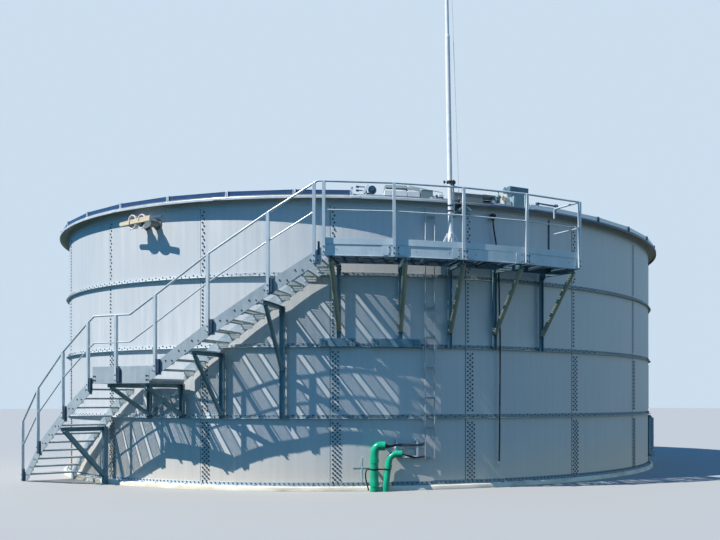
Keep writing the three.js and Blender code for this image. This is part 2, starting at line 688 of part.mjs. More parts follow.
// The mast in two lengths, the clamp to the top rail with its wing bolts, and the taut line to its cleat
const railTop = platformRailTop + railTube;
const clampHeight = railTop + 92 - deckTop;
const wingSide = 105;
const cleatHeight = 900;
const lineHigh = mastLength - 75;
function mast() {
  const splice = mastLength * 0.6;
  const pole = [
    bar(mastPoint(17), mastPoint(splice), mastRadius, 12),
    bar(mastPoint(splice - 5), mastPoint(mastLength), mastRadius * 0.8, 12, mastRadius * 0.6),
  ];
  const clamp = [
    bar(mastPoint(clampHeight - 22), mastPoint(clampHeight + 22), mastRadius + 12, 12),
    block([-14, 14], [mastRadial + 10, walkOuter + 45], [railTop + gap, mastPoint(clampHeight).z], mastAngle),
    bar(mastPoint(clampHeight, -wingSide), mastPoint(clampHeight, wingSide), 9),
    bar(mastPoint(clampHeight - 25, -wingSide), mastPoint(clampHeight + 25, -wingSide), 16),
    bar(mastPoint(clampHeight - 25, wingSide), mastPoint(clampHeight + 25, wingSide), 16),
  ];
  const line = [
    bar(mastPoint(cleatHeight, 160), mastPoint(lineHigh, 60), 4, 6),
    bar(mastPoint(lineHigh), mastPoint(lineHigh, 70), 10),
    bar(mastPoint(cleatHeight), mastPoint(cleatHeight, 170), 9),
  ];
  addPiece('mast', joined([...pole, ...clamp, ...line]), finish.white);
}
mast();

// The cable ladder up the wall: two rails and rungs
function cableLadder() {
  const back = padDistance(shellRadius + ringReach, ladderAngle, ladderWidth / 2);
  const half = ladderWidth / 2;
  const pieces = [
    block([-half, -half + 15], [back, back + 50], [ladderBottom, ladderTop]),
    block([half - 15, half], [back, back + 50], [ladderBottom, ladderTop]),
  ];
  for (let z = ladderBottom + 5; z < ladderTop; z += rungPitch) {
    pieces.push(block([-half + 5, half - 5], [back + 5, back + 30], [z, z + 30]));
  }
  addPiece('cable_ladder', joined(pieces).transform(turned(ladderAngle).elements), finish.galvanised);
}
cableLadder();

// The height of the roof's upper face along the joint of two panels
function roofSkin(radius) {
  const share = (roofRadius - radius) / (roofRadius - roofCapRadius);
  return eaveTop + gap + roofDepth + roofRise * share;
}

// A box on the roof's edge, its back foot on the sloping sheets and its front over the eave
const gearFront = (upstandRadius - 10) * Math.cos(radians(panelAngle / 2)) - 2;
const skirt = 45;
function roofBox(degrees, width, depth, height, lift = -skirt) {
  const back = gearFront - depth;
  const base = roofSkin(back);
  return block([-width / 2, width / 2], [back, gearFront], [base + lift, base + height], degrees);
}
const addRoofGear = (name, pieces, material) => addPiece(name, joined(pieces).subtract(roofSpace), material);
addRoofGear('hatch_covers', [roofBox(3.25, 400, 420, 150), roofBox(5.75, 240, 420, 130)], finish.white);
addRoofGear('junction_box', [roofBox(7.72, 225, 200, 110), roofBox(9.4, 210, 200, 60)], finish.trim);
addRoofGear('control_box', [
  roofBox(13.95, 590, 300, 95), roofBox(17.4, 275, 260, 120), roofBox(19.15, 165, 150, 190),
], finish.grey);
addRoofGear('gauge_cabinet', [roofBox(22.4, 240, 240, 245), roofBox(22.45, 410, 260, 330, 235)], finish.trim);

// The bent vent beside the cabinet, on a foot plate
const gearLine = gearFront - 150;
const gearHalf = 110;
const gearBase = roofSkin(gearLine - gearHalf);
const gearAt = (degrees, up, out = 0) => polar(gearLine + out, degrees, gearBase + up);
const gearRun = [gearLine - gearHalf, gearLine + gearHalf];
const gearBlock = (degrees, half, top) =>
  block([-half, half], gearRun, [gearBase - skirt, gearBase + top], degrees);
const ventRoute = [[20.8, 6], [20.8, 40], [20.68, 80], [20.4, 102], [20, 105]];
const ventBend = hose(ventRoute.map(([degrees, up]) => gearAt(degrees, up)), 48, 10, 10);
addRoofGear('roof_vent', [gearBlock(20.8, 60, 12), ventBend], finish.white);

// The valve with its post and horn, on a foot plate
const valveAngle = -0.6;
const postHalf = 18;
const postRun = [gearLine - postHalf, gearLine + postHalf];
const valvePost = block([-postHalf, postHalf], postRun, [gearBase, gearBase + 150], valveAngle - 0.45);
addRoofGear('roof_valve', [
  gearBlock(valveAngle, 90, 12),
  valvePost,
  bar(gearAt(valveAngle - 0.6, 150), gearAt(valveAngle + 0.75, 70), 22, 10, 62),
  bar(gearAt(valveAngle + 0.2, 6), gearAt(valveAngle + 0.2, 110), 34, 10),
], finish.blue);

// The level arm: a block with a bar along the edge and a round head at its end
const armHeight = 106;
addRoofGear('level_arm', [
  gearBlock(26.3, 40, armHeight + 12),
  bar(gearAt(26.1, armHeight, 60), gearAt(30, armHeight, 60), 20, 10),
  bar(gearAt(29.9, armHeight, 60), gearAt(30.5, armHeight, 60), 42, 12),
], finish.blue);

// The pipe stubs high on the wall, which leave it aslant, with a coupling on each and a board across them
function inletStubs() {
  const aim = polar(1, -45, 0);
  const stubs = [
    { degrees: -36.4, height: 4877, length: 318 }, { degrees: -34.28, height: 4865, length: 330 },
  ];
  const pieces = stubs.flatMap(({ degrees, height, length }) => {
    const root = polar(shellRadius, degrees, height);
    const place = (out) => root.clone().addScaledVector(aim, out);
    return [
      bar(place(-90), place(length - 90), 72, 12),
      bar(polar(shellRadius - 20, degrees, height), polar(shellRadius + 15, degrees, height), 105, 12),
      bar(place(length - 140), place(length), 85, 12, 135),
    ];
  });
  const board = block([299, 1229], [7262, 7307], [4828, 4928], -42);
  addPiece('inlet_stubs', joined([...pieces, board]).subtract(shellSpace), finish.galvanised);
}
inletStubs();

// The green risers for the cables: bent at the top, tied together by a strap
const riserLine = 7195;
function serviceRisers() {
  const place = (degrees, up) => polar(riserLine, degrees, up);
  const tallRoute = [place(0.2, 0), place(0.2, 620), place(0.3, 740), place(0.75, 800), place(1.65, 800)];
  const shortRoute = [place(1.75, 0), place(1.75, 60), place(1.95, 290), place(2.2, 520), place(2.5, 610),
    place(3.1, 655), place(4.0, 655)];
  const tall = hose(tallRoute, 72, 12, 14);
  const short = hose(shortRoute, 52, 12, 16);
  const strap = bar(place(0.2, 390), place(2.1, 390), 22, 6);
  const clip = block([-20, 20], [shellRadius - 20, riserLine], [370, 410], 0.2).subtract(shellSpace);
  addPiece('service_risers', joined([tall, short, strap, clip]), finish.green);
}
serviceRisers();

// The cable tray between the risers and the ladder, with the cables that lie on it
function cableTray() {
  const middle = 4.9;
  const bars = [shellRadius + 40, shellRadius + 70];
  const uprights = [shellRadius - 20, shellRadius + 72];
  const pieces = [
    block([-230, 315], bars, [753, 783]),
    block([-190, 315], bars, [585, 615]),
    block([-205, -170], uprights, [580, 905]),
    block([165, 200], uprights, [580, 905]),
    block([-230, 315], [shellRadius + 45, shellRadius + 95], [778, 815]),
  ];
  const tray = joined(pieces).transform(turned(middle).elements);
  addPiece('cable_tray', tray.subtract(shellSpace), finish.galvanised);
}
cableTray();

// The instrument box on the wall below the eave, with its sloping hood
function instrumentBox() {
  const degrees = 13.45;
  const back = padDistance(legInner + ringSteel, degrees, 60);
  const box = block([-60, 60], [back, back + 110], [4990, 5110], degrees);
  const place = (across, out, up) => new THREE.Vector3(across, -(back + out), up);
  const hood = [[-125, 5070, 0, 5170], [0, 5170, 125, 5070]].map(([x0, z0, x1, z1]) =>
    squareBar(place(x0, 60, z0), place(x1, 60, z1), 20).transform(turned(degrees).elements));
  addPiece('instrument_box', joined([box, ...hood]), finish.white);
}
instrumentBox();

// The drop cable down the wall: its gland under the eave, the cable and its end fitting
const cableLine = shellRadius + 85;
const cableRoute = [
  [18.05, 4940], [18.05, 4890], [18.2, 4740], [18.55, 4500], [18.85, 4200],
  [19.0, 3900], [19.1, 3372], [19.2, 2900], [19.22, 2631], [19.2, 2000],
  [19.15, 1400], [19.13, 869], [19.08, 600], [19.06, 510], [19.06, 470],
];
const cableRadius = 15;
const cableAt = ([degrees, up]) => polar(cableLine, degrees, up);
const cableTop = cableRoute[0];
const cableFoot = cableRoute[cableRoute.length - 1];
function cableGland() {
  const [degrees, up] = cableTop;
  const back = padDistance(shellRadius, degrees, 45);
  const plate = block([-45, 45], [back, cableLine + 30], [up + 45, up + 110], degrees);
  const nut = bar(polar(cableLine, degrees, up + gap), polar(cableLine, degrees, up + 70), 28, 8);
  addPiece('cable_gland', joined([plate, nut]), finish.black);
}
cableGland();
addPiece('drop_cable', hose(cableRoute.map(cableAt), cableRadius, 8, 60), finish.black);
const endAt = (below) => polar(cableLine, cableFoot[0], cableFoot[1] - below);
addPiece('cable_end', bar(endAt(gap), endAt(90), 24, 8), finish.white);

// The cleaning door low on the wall: a frame, the cover on it and a sill box below
function cleaningDoor() {
  const degrees = 74;
  const [width, bottom, top] = [900, 250, 1240];
  const back = padDistance(shellRadius, degrees, width / 2);
  const frame = block([-width / 2, width / 2], [back, back + 50], [bottom, top]);
  const cover = block([-width / 2 + 40, width / 2 - 40], [back + 45, back + 125], [bottom + 60, top - 10]);
  const sill = block([-width / 2, width / 2], [back + 45, back + 140], [bottom, bottom + 130]);
  addPiece('cleaning_door', joined([frame, cover, sill]).transform(turned(degrees).elements), finish.trim);
}
cleaningDoor();

export default tank;
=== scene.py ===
from math import cos, pi, radians, sin, tan

import bmesh
import bpy
from mathutils import Matrix, Vector


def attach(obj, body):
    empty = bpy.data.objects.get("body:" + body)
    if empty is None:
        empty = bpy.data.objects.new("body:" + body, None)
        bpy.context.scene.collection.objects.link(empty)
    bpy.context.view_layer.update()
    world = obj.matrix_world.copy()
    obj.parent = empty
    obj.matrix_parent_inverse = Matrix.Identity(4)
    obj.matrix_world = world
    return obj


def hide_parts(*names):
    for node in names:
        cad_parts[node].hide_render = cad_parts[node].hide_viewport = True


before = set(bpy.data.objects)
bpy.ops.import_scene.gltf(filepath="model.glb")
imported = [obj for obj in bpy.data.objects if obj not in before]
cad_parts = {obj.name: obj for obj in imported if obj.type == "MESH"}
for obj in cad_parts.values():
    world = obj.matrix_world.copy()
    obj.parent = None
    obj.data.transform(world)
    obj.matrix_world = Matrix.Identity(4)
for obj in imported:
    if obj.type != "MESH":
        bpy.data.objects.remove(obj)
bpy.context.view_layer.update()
scene = bpy.context.scene


# The camera stands in front of the tank at eye height and looks level. The picture's frame is cut
# out of its view to the left of the line it looks along, and above it.
camera_data = bpy.data.cameras.new("camera")
camera_data.sensor_width = 36.0
camera_data.lens = 43.39
camera_data.shift_x = -0.199
camera_data.shift_y = 0.1807
camera = bpy.data.objects.new("camera", camera_data)
camera.location = (0.0, -22.618, 1.609)
camera.rotation_euler = (radians(90), 0.0, radians(-8.54))
scene.collection.objects.link(camera)
scene.camera = camera
scene.view_settings.view_transform = "Standard"


# The light is a high sun from the front left under a sky that is paler on the right. The plain
# pale floor shows only to the camera, so that it throws no light up under the platform.
def polar(radius, angle, z=0.0):
    turn = radians(angle)
    return Vector((radius * sin(turn), -radius * cos(turn), z))


def wire(tree, kind, inputs=None, **settings):
    """A node with its settings made and its inputs joined or filled in"""
    node = tree.nodes.new(kind)
    for name, value in settings.items():
        setattr(node, name, value)
    for name, value in (inputs or {}).items():
        socket = node.inputs[name]
        if isinstance(value, bpy.types.NodeSocket):
            tree.links.new(value, socket)
        else:
            socket.default_value = value
    return node


def tones(tree, value, *stops):
    """A colour looked up from a value, between stops of (place, (red, green, blue))"""
    node = wire(tree, "ShaderNodeValToRGB", {"Fac": value})
    ramp = node.color_ramp
    while len(ramp.elements) < len(stops):
        ramp.elements.new(1.0)
    for element, (place, colour) in zip(ramp.elements, stops):
        element.position = place
        element.color = (*colour, 1)
    return node.outputs["Color"]


def ramp_along(tree, value, low, high):
    """A share that rises from 0 to 1 as a value goes from low to high"""
    spread = wire(tree, "ShaderNodeMapRange", {"Value": value, "From Min": low, "From Max": high})
    return spread.outputs["Result"]


def blend(tree, share, first, second):
    """A mix of two colours by a share from 0 to 1"""
    return wire(tree, "ShaderNodeMix", {0: share, 6: first, 7: second}, data_type="RGBA").outputs[2]


def axes(tree, kind="Object"):
    """A point's coordinates, each by its letter"""
    return wire(tree, "ShaderNodeSeparateXYZ", {0: wire(tree, "ShaderNodeTexCoord").outputs[kind]}).outputs


def new_finish(name, metallic, roughness):
    """A material with its shader set, and the object's own coordinates to paint by"""
    material = bpy.data.materials.new(name)
    material.use_nodes = True
    tree = material.node_tree
    shader = tree.nodes["Principled BSDF"]
    shader.inputs["Metallic"].default_value = metallic
    shader.inputs["Roughness"].default_value = roughness
    return material, tree, shader, wire(tree, "ShaderNodeTexCoord").outputs["Object"]


key_angle, key_height = -69.5, 48.5
key_data = bpy.data.lights.new("key", "SUN")
key_data.energy = 6.5
key_data.angle = radians(0.35)
key_data.color = (1.0, 0.95, 0.88)
key = bpy.data.objects.new("key", key_data)
towards_key = polar(cos(radians(key_height)), key_angle, sin(radians(key_height)))
key.rotation_euler = towards_key.to_track_quat("Z", "Y").to_euler()
scene.collection.objects.link(key)

world = bpy.data.worlds.new("studio")
world.use_nodes = True
scene.world = world
sky = world.node_tree
towards = axes(sky, "Generated")
height = ramp_along(sky, towards["Z"], -1.0, 1.0)
left_sky, right_sky = (tones(sky, height, *zip((0.0, 0.47, 0.53, 1.0), colours)) for colours in (
    ((0.04, 0.08, 0.08), (0.05, 0.12, 0.13), (0.08, 0.37, 0.72), (0.04, 0.22, 0.60)),
    ((0.16, 0.18, 0.15), (0.24, 0.27, 0.23), (0.44, 0.64, 0.78), (0.04, 0.22, 0.60))))
sky_colour = blend(sky, ramp_along(sky, towards["X"], -0.1, 0.8), left_sky, right_sky)
fill = wire(sky, "ShaderNodeBackground", {"Color": sky_colour, "Strength": 0.9})
backdrop = wire(sky, "ShaderNodeBackground", {"Color": (0.60, 0.73, 0.86, 1), "Strength": 1.0})
choice = wire(sky, "ShaderNodeMixShader", {
    0: wire(sky, "ShaderNodeLightPath").outputs["Is Camera Ray"],
    1: fill.outputs[0], 2: backdrop.outputs[0]})
sky.links.new(choice.outputs[0], sky.nodes["World Output"].inputs["Surface"])

floor_radius = 160.0
floor_mesh = bpy.data.meshes.new("floor")
floor_mesh.from_pydata([polar(floor_radius, 5 * i, -0.002) for i in range(72)], [], [list(range(72))])
floor_paint, tree, shader, place = new_finish("floor", 0.0, 0.9)
shader.inputs["Base Color"].default_value = (0.34, 0.35, 0.35, 1)
floor_mesh.materials.append(floor_paint)
floor_piece = bpy.data.objects.new("floor", floor_mesh)
floor_piece.visible_diffuse = False
floor_piece.visible_glossy = False
scene.collection.objects.link(floor_piece)


# The drop cable is black rubber, 30 mm across. It hangs down the wall from its gland under the
# eave to an end fitting near the ground, and is a round tube swept along its route.
def grain(tree, place, scale, detail=3.0, stretch=(1, 1, 1)):
    """A soft random value from 0 to 1 over the piece, in patches of about 1 / scale metres"""
    spread = wire(tree, "ShaderNodeMapping", {"Vector": place, "Scale": stretch})
    noise = wire(tree, "ShaderNodeTexNoise", {
        "Vector": spread.outputs["Vector"], "Scale": scale, "Detail": detail})
    return ramp_along(tree, noise.outputs["Fac"], 0.25, 0.75)


def paint(tree, shader, colour):
    tree.links.new(colour, shader.inputs["Base Color"])


def roughen(tree, shader, value, low, high):
    """A roughness between two limits that follows a value"""
    spread = wire(tree, "ShaderNodeMapRange", {"Value": value, "To Min": low, "To Max": high})
    tree.links.new(spread.outputs["Result"], shader.inputs["Roughness"])


def emboss(tree, shader, value, height, strength=0.6):
    """A fine relief that follows a value, its height in metres"""
    bump = wire(tree, "ShaderNodeBump", {"Height": value, "Distance": height, "Strength": strength})
    tree.links.new(bump.outputs["Normal"], shader.inputs["Normal"])


def plain_finish(name, dark, light, metallic=0.0, roughness=(0.4, 0.55), scale=6.0, relief=0.0004):
    """A finish that drifts between two close tones, with a faint grain"""
    material, tree, shader, place = new_finish(name, metallic, roughness[0])
    patches = grain(tree, place, scale, 5.0)
    paint(tree, shader, tones(tree, patches, (0.0, dark), (1.0, light)))
    roughen(tree, shader, patches, *roughness)
    emboss(tree, shader, grain(tree, place, scale * 30), relief)
    return material


class Shape:
    """Corners and faces gathered for one mesh"""

    def __init__(self):
        self.corners, self.faces = [], []

    def add(self, corners, faces):
        first = len(self.corners)
        self.corners += [Vector(corner) for corner in corners]
        self.faces += [[first + i for i in face] for face in faces]

    def loft(self, loops, closed=False):
        """A skin over loops of corners, capped at both ends, or joined round where it is closed"""
        count = len(loops[0])
        faces = []
        for k in range(len(loops) if closed else len(loops) - 1):
            here, there = k * count, (k + 1) % len(loops) * count
            for i in range(count):
                j = (i + 1) % count
                faces.append((here + i, here + j, there + j, there + i))
        if not closed:
            faces.append(tuple(reversed(range(count))))
            faces.append(tuple((len(loops) - 1) * count + i for i in range(count)))
        self.add([corner for loop in loops for corner in loop], faces)

    def rod(self, start, end, radius, sides=16, end_radius=None):
        """A round bar between two points"""
        start, end = Vector(start), Vector(end)
        self.loft(rings_along([start, end], [radius, radius if end_radius is None else end_radius], sides))

    def tube(self, points, radius, sides=12):
        """A round bar along a line of points"""
        self.loft(rings_along([Vector(point) for point in points], [radius] * len(points), sides))


def rings_along(points, radii, sides):
    """Rings of corners square to a line of points, carried along it without a twist"""
    loops = []
    side = None
    for k, point in enumerate(points):
        run = (points[min(k + 1, len(points) - 1)] - points[max(k - 1, 0)]).normalized()
        if side is None:
            side = run.cross(Vector((0, 0, 1)) if abs(run.z) < 0.9 else Vector((1, 0, 0)))
        side = (side - run * side.dot(run)).normalized()
        over = run.cross(side)
        loops.append([point + radii[k] * (side * cos(2 * pi * i / sides) + over * sin(2 * pi * i / sides))
                      for i in range(sides)])
    return loops


def smooth_route(points, steps):
    """A smooth curve through points, centripetal, with so many steps between each two"""
    route = []
    padded = [2 * points[0] - points[1], *points, 2 * points[-1] - points[-2]]
    for p0, p1, p2, p3 in zip(padded, padded[1:], padded[2:], padded[3:]):
        t1 = (p1 - p0).length ** 0.5
        t2 = t1 + (p2 - p1).length ** 0.5
        t3 = t2 + (p3 - p2).length ** 0.5
        for i in range(steps):
            t = t1 + (t2 - t1) * i / steps
            a1 = p0 * (t1 - t) / t1 + p1 * t / t1
            a2 = p1 * (t2 - t) / (t2 - t1) + p2 * (t - t1) / (t2 - t1)
            a3 = p2 * (t3 - t) / (t3 - t2) + p3 * (t - t2) / (t3 - t2)
            b1 = a1 * (t2 - t) / t2 + a2 * t / t2
            b2 = a2 * (t3 - t) / (t3 - t1) + a3 * (t - t1) / (t3 - t1)
            route.append(b1 * (t2 - t) / (t2 - t1) + b2 * (t - t1) / (t2 - t1))
    return [*route, points[-1]]


def fit(piece, slot, *nodes):
    """A finished piece on the tank's one body, in the place of the named nodes"""
    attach(piece, "root")
    if nodes:
        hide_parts(*nodes)
    return piece


def mesh_of(name, shape):
    """The mesh of a shape, with all its faces outwards"""
    mesh = bpy.data.meshes.new(name)
    mesh.from_pydata(shape.corners, [], shape.faces)
    work = bmesh.new()
    work.from_mesh(mesh)
    bmesh.ops.recalc_face_normals(work, faces=work.faces)
    work.to_mesh(mesh)
    work.free()
    return mesh


def finished(name, shape, material, *nodes, slot="galvanised_steel", edge=0.0):
    """A piece made of a shape, with rounded surfaces shaded smooth and its sharp edges eased"""
    mesh = mesh_of(name, shape)
    mesh.shade_smooth()
    mesh.set_sharp_from_angle(angle=radians(35))
    mesh.materials.append(material)
    piece = bpy.data.objects.new(name, mesh)
    scene.collection.objects.link(piece)
    if edge:
        eased = piece.modifiers.new("edge", "BEVEL")
        eased.width = edge
        eased.segments = 1
        eased.limit_method = "ANGLE"
        eased.angle_limit = radians(50)
    return fit(piece, slot, *nodes)


cable_line = 7.085
cable_radius = 0.015
cable_route = [
    (18.05, 4.940), (18.05, 4.890), (18.2, 4.740), (18.55, 4.500), (18.85, 4.200),
    (19.0, 3.900), (19.1, 3.372), (19.2, 2.900), (19.22, 2.631), (19.2, 2.000),
    (19.15, 1.400), (19.13, 0.869), (19.08, 0.600), (19.06, 0.510), (19.06, 0.470),
]
cable_points = smooth_route([polar(cable_line, angle, z) for angle, z in cable_route], 5)
rubber = plain_finish("cable_rubber", (0.012, 0.012, 0.014), (0.03, 0.03, 0.034), 0.0, (0.5, 0.65), 14)
cable_shape = Shape()
cable_shape.tube(cable_points, cable_radius, 16)
drop_cable = finished("drop_cable_sheath", cable_shape, rubber, "drop_cable", slot="black_rubber")

end_shape = Shape()
end_top = cable_points[-1]
for low, high, thin, thick in ((0.0, 0.012, 0.017, 0.022), (0.012, 0.078, 0.0225, 0.0225),
                               (0.078, 0.089, 0.0225, 0.012)):
    end_shape.rod(end_top - Vector((0, 0, low)), end_top - Vector((0, 0, high)), thin, 20, thick)
for turn in range(3):
    ring_z = end_top.z - 0.03 - 0.014 * turn
    end_shape.rod((*end_top.xy, ring_z), (*end_top.xy, ring_z - 0.006), 0.0238, 20)
white_plastic = plain_finish("white_plastic", (0.70, 0.71, 0.70), (0.84, 0.85, 0.84), 0.0, (0.35, 0.5), 8)
cable_end = finished("cable_end_fitting", end_shape, white_plastic, "cable_end", slot="white_paint")


# The slab is cast concrete, 80 mm thick, a little wider than the wall that stands on it. Its edge
# was rounded off with a float.
def turned_ring(shape, profile, first=0.0, last=360.0, step=1.0):
    """A profile of (radius, height) corners turned about the tank's axis"""
    whole = abs(last - first - 360) < 1e-6
    count = round((last - first) / step)
    angles = [first + (last - first) * i / count for i in range(count if whole else count + 1)]
    shape.loft([[polar(r, angle, z) for r, z in profile] for angle in angles], closed=whole)


slab_radius, slab_height = 7.110, 0.080
rim_inside, slab_inside = 6.6, 6.62
slab_shape = Shape()
slab_rim = [(slab_radius, 0.0), (slab_radius, slab_height - 0.012),
            (slab_radius - 0.004, slab_height - 0.004), (slab_radius - 0.012, slab_height),
            (rim_inside, slab_height), (rim_inside, 0.0)]
turned_ring(slab_shape, slab_rim)
slab_shape.loft([[polar(slab_inside, angle, z) for angle in range(0, 360, 5)]
                 for z in (0.002, slab_height - 0.002)])
concrete, tree, shader, place = new_finish("slab_concrete", 0.0, 0.9)
stains = grain(tree, place, 2.2, 8.0, (1, 1, 3))
paint(tree, shader, tones(tree, stains, (0.0, (0.50, 0.44, 0.34)), (0.45, (0.78, 0.72, 0.60)),
                          (1.0, (0.90, 0.86, 0.75))))
emboss(tree, shader, grain(tree, place, 90, 6.0), 0.003)
finished("slab", slab_shape, concrete, "base_slab", slot="concrete")


# The wall is bolted from curved steel plates, four courses high and eighteen plates around. Each
# plate's left edge laps over its neighbour, a plate's thickness further out, on a dark strip that is
# partly sealant and partly a painted shadow of the lap.
def grow(name, tree, mesh, settings):
    """A piece that a node tree makes from a mesh, turned into a plain mesh"""
    piece = bpy.data.objects.new(name, mesh)
    scene.collection.objects.link(piece)
    modifier = piece.modifiers.new("grow", "NODES")
    modifier.node_group = tree
    for socket in tree.interface.items_tree:
        if socket.in_out == "INPUT" and socket.name in settings:
            modifier[socket.identifier] = settings[socket.name]
    grown = piece.evaluated_get(bpy.context.evaluated_depsgraph_get())
    plain = bpy.data.meshes.new_from_object(grown)
    piece.modifiers.remove(modifier)
    piece.data = plain
    plain.name = name
    return piece


def new_tree(name, *inputs):
    """An empty geometry tree with named inputs, its input and its output"""
    tree = bpy.data.node_groups.new(name, "GeometryNodeTree")
    tree.interface.new_socket("Geometry", in_out="INPUT", socket_type="NodeSocketGeometry")
    tree.interface.new_socket("Geometry", in_out="OUTPUT", socket_type="NodeSocketGeometry")
    for label, kind in inputs:
        tree.interface.new_socket(label, in_out="INPUT", socket_type="NodeSocket" + kind)
    return tree, tree.nodes.new("NodeGroupInput").outputs, tree.nodes.new("NodeGroupOutput").inputs


def end_tree(tree, given, out, instances):
    """The tree's last two nodes: real geometry in the given finish"""
    real = wire(tree, "GeometryNodeRealizeInstances", {"Geometry": instances})
    painted = wire(tree, "GeometryNodeSetMaterial", {
        "Geometry": real.outputs["Geometry"], "Material": given["Finish"]})
    tree.links.new(painted.outputs["Geometry"], out["Geometry"])


def maths(tree, operation, *values):
    """What one operation makes of values or sockets"""
    return wire(tree, "ShaderNodeMath", dict(enumerate(values)), operation=operation).outputs[0]


# Copies of a shape, turned about the tank's axis
around_tree, given, out = new_tree("around_the_tank", ("Count", "Int"), ("First turn", "Float"),
                                   ("Turn", "Float"), ("Finish", "Material"))
spots = wire(around_tree, "GeometryNodePoints", {"Count": given["Count"]})
number = wire(around_tree, "GeometryNodeInputIndex").outputs["Index"]
upright_turn = wire(around_tree, "ShaderNodeCombineXYZ", {
    "Z": maths(around_tree, "MULTIPLY_ADD", number, given["Turn"], given["First turn"])})
copies = wire(around_tree, "GeometryNodeInstanceOnPoints", {
    "Points": spots.outputs[0], "Instance": given["Geometry"], "Rotation": upright_turn.outputs[0]})
end_tree(around_tree, given, out, copies.outputs["Instances"])


def turned_copies(name, shape, material, count, first, turn, *nodes, slot="galvanised_steel", flat=False):
    """Copies of a shape around the tank, as one piece"""
    piece = grow(name, around_tree, mesh_of(name, shape), {
        "Count": count, "First turn": radians(first), "Turn": radians(turn), "Finish": material})
    if not flat:
        piece.data.shade_smooth()
        piece.data.set_sharp_from_angle(angle=radians(35))
    fit(piece, slot, *nodes)


def arc(length, radius):
    """The angle of a length along a circle"""
    return length / radius * 180 / pi


shell_radius, plate_steel = 7.0, 0.0045
course_height, course_count = 1.265, 4
plates_around, seam_line = 18, -46.1
plate_angle = 360 / plates_around
lap_width, lap_rise = 0.180, 0.0008
lap_angle = arc(lap_width, shell_radius)


def wall_plate(shape, bottom, top):
    """One curved plate to the right of its proud left edge, which is at the axis's zero angle"""
    width = plate_angle + lap_angle
    loops = []
    for i in range(25):
        angle = width * i / 24
        outer = shell_radius - angle / width * (plate_steel + lap_rise)
        loops.append([polar(r, angle, z) for r, z in (
            (outer, bottom), (outer, top), (outer - plate_steel, top), (outer - plate_steel, bottom))])
    shape.loft(loops)


def weighted(tree, *parts):
    """A sum of values, each taken by its weight"""
    total = 0.0
    for value, weight in reversed(parts):
        total = maths(tree, "MULTIPLY_ADD", value, weight, total)
    return total


# Each plate has a tone of its own, by its column and its course, under streaks that run down it
shell_paint, tree, shader, place = new_finish("shell_coating", 0.25, 0.45)
spot = axes(tree)
turn = maths(tree, "ARCTAN2", spot["X"], maths(tree, "MULTIPLY", spot["Y"], -1.0))
column = maths(tree, "DIVIDE", maths(tree, "SUBTRACT", turn, radians(seam_line)), radians(plate_angle))
course = maths(tree, "DIVIDE", maths(tree, "SUBTRACT", spot["Z"], slab_height), course_height)
plate_number = wire(tree, "ShaderNodeCombineXYZ", {
    "X": maths(tree, "FLOOR", column), "Y": maths(tree, "FLOOR", course)})
batch = wire(tree, "ShaderNodeTexWhiteNoise", {"Vector": plate_number.outputs[0]}, noise_dimensions="3D")
unrolled = wire(tree, "ShaderNodeCombineXYZ", {"X": turn, "Y": spot["Z"]})
streaks = grain(tree, unrolled.outputs[0], 1.0, 6.0, (90, 0.5, 1))
tone = weighted(tree, (streaks, 0.5), (grain(tree, place, 0.9, 4.0), 0.25), (batch.outputs["Value"], 0.25))
coating = tones(tree, tone, (0.0, (0.50, 0.53, 0.56)), (0.5, (0.57, 0.60, 0.62)), (1.0, (0.66, 0.67, 0.68)))
# At its foot the wall is blended three tenths of the way towards a warm beige: fully below 0.3 m, fading out
# by 0.9 m.
warm_low_tone = blend(tree, 0.30, coating, (0.92, 0.72, 0.50, 1))
paint(tree, shader, blend(tree, ramp_along(tree, spot["Z"], 0.9, 0.3), coating, warm_low_tone))
roughen(tree, shader, streaks, 0.42, 0.56)
emboss(tree, shader, grain(tree, place, 60), 0.0004)

wall_shape = Shape()
for course_index in range(course_count):
    bottom = slab_height + course_index * course_height
    wall_plate(wall_shape, bottom + 0.001, bottom + course_height - 0.001)
plates_a_segment = 3
for segment in range(plates_around // plates_a_segment):
    turned_copies(f"wall_plates_{segment + 1}", wall_shape, shell_paint, plates_a_segment,
                  seam_line + segment * plates_a_segment * plate_angle, plate_angle,
                  f"shell_wall_{segment + 1}", slot="shell_steel")
# The seam strip's dark teal is partly the sealant's own colour and partly a painted shadow of the lap's edge.
sealant_and_shadow = plain_finish("sealant_and_shadow", (0.035, 0.075, 0.095), (0.07, 0.12, 0.14), 0.0, (0.5, 0.7), 12)
sealant_width = arc(0.012, shell_radius)
seal_strip = Shape()
seal_strip.loft([[polar(r, angle, z) for angle, r in (
    (0.0, shell_radius - 0.006), (0.0, shell_radius - 0.001), (-sealant_width, shell_radius - 0.004),
    (-sealant_width, shell_radius - 0.006))]
    for z in (slab_height + 0.001, slab_height + course_count * course_height)])
turned_copies("seam_sealant", seal_strip, sealant_and_shadow, plates_around, seam_line, plate_angle, slot="black_rubber")


# The plates' bolts are galvanised, with dark caps over the heads. Every seam has one to four
# columns of them, and the lowest courses, which carry the most, have the most.
def joined(tree, *parts):
    """Several geometries as one"""
    node = tree.nodes.new("GeometryNodeJoinGeometry")
    for part in parts:
        tree.links.new(part, node.inputs[0])
    return node.outputs[0]


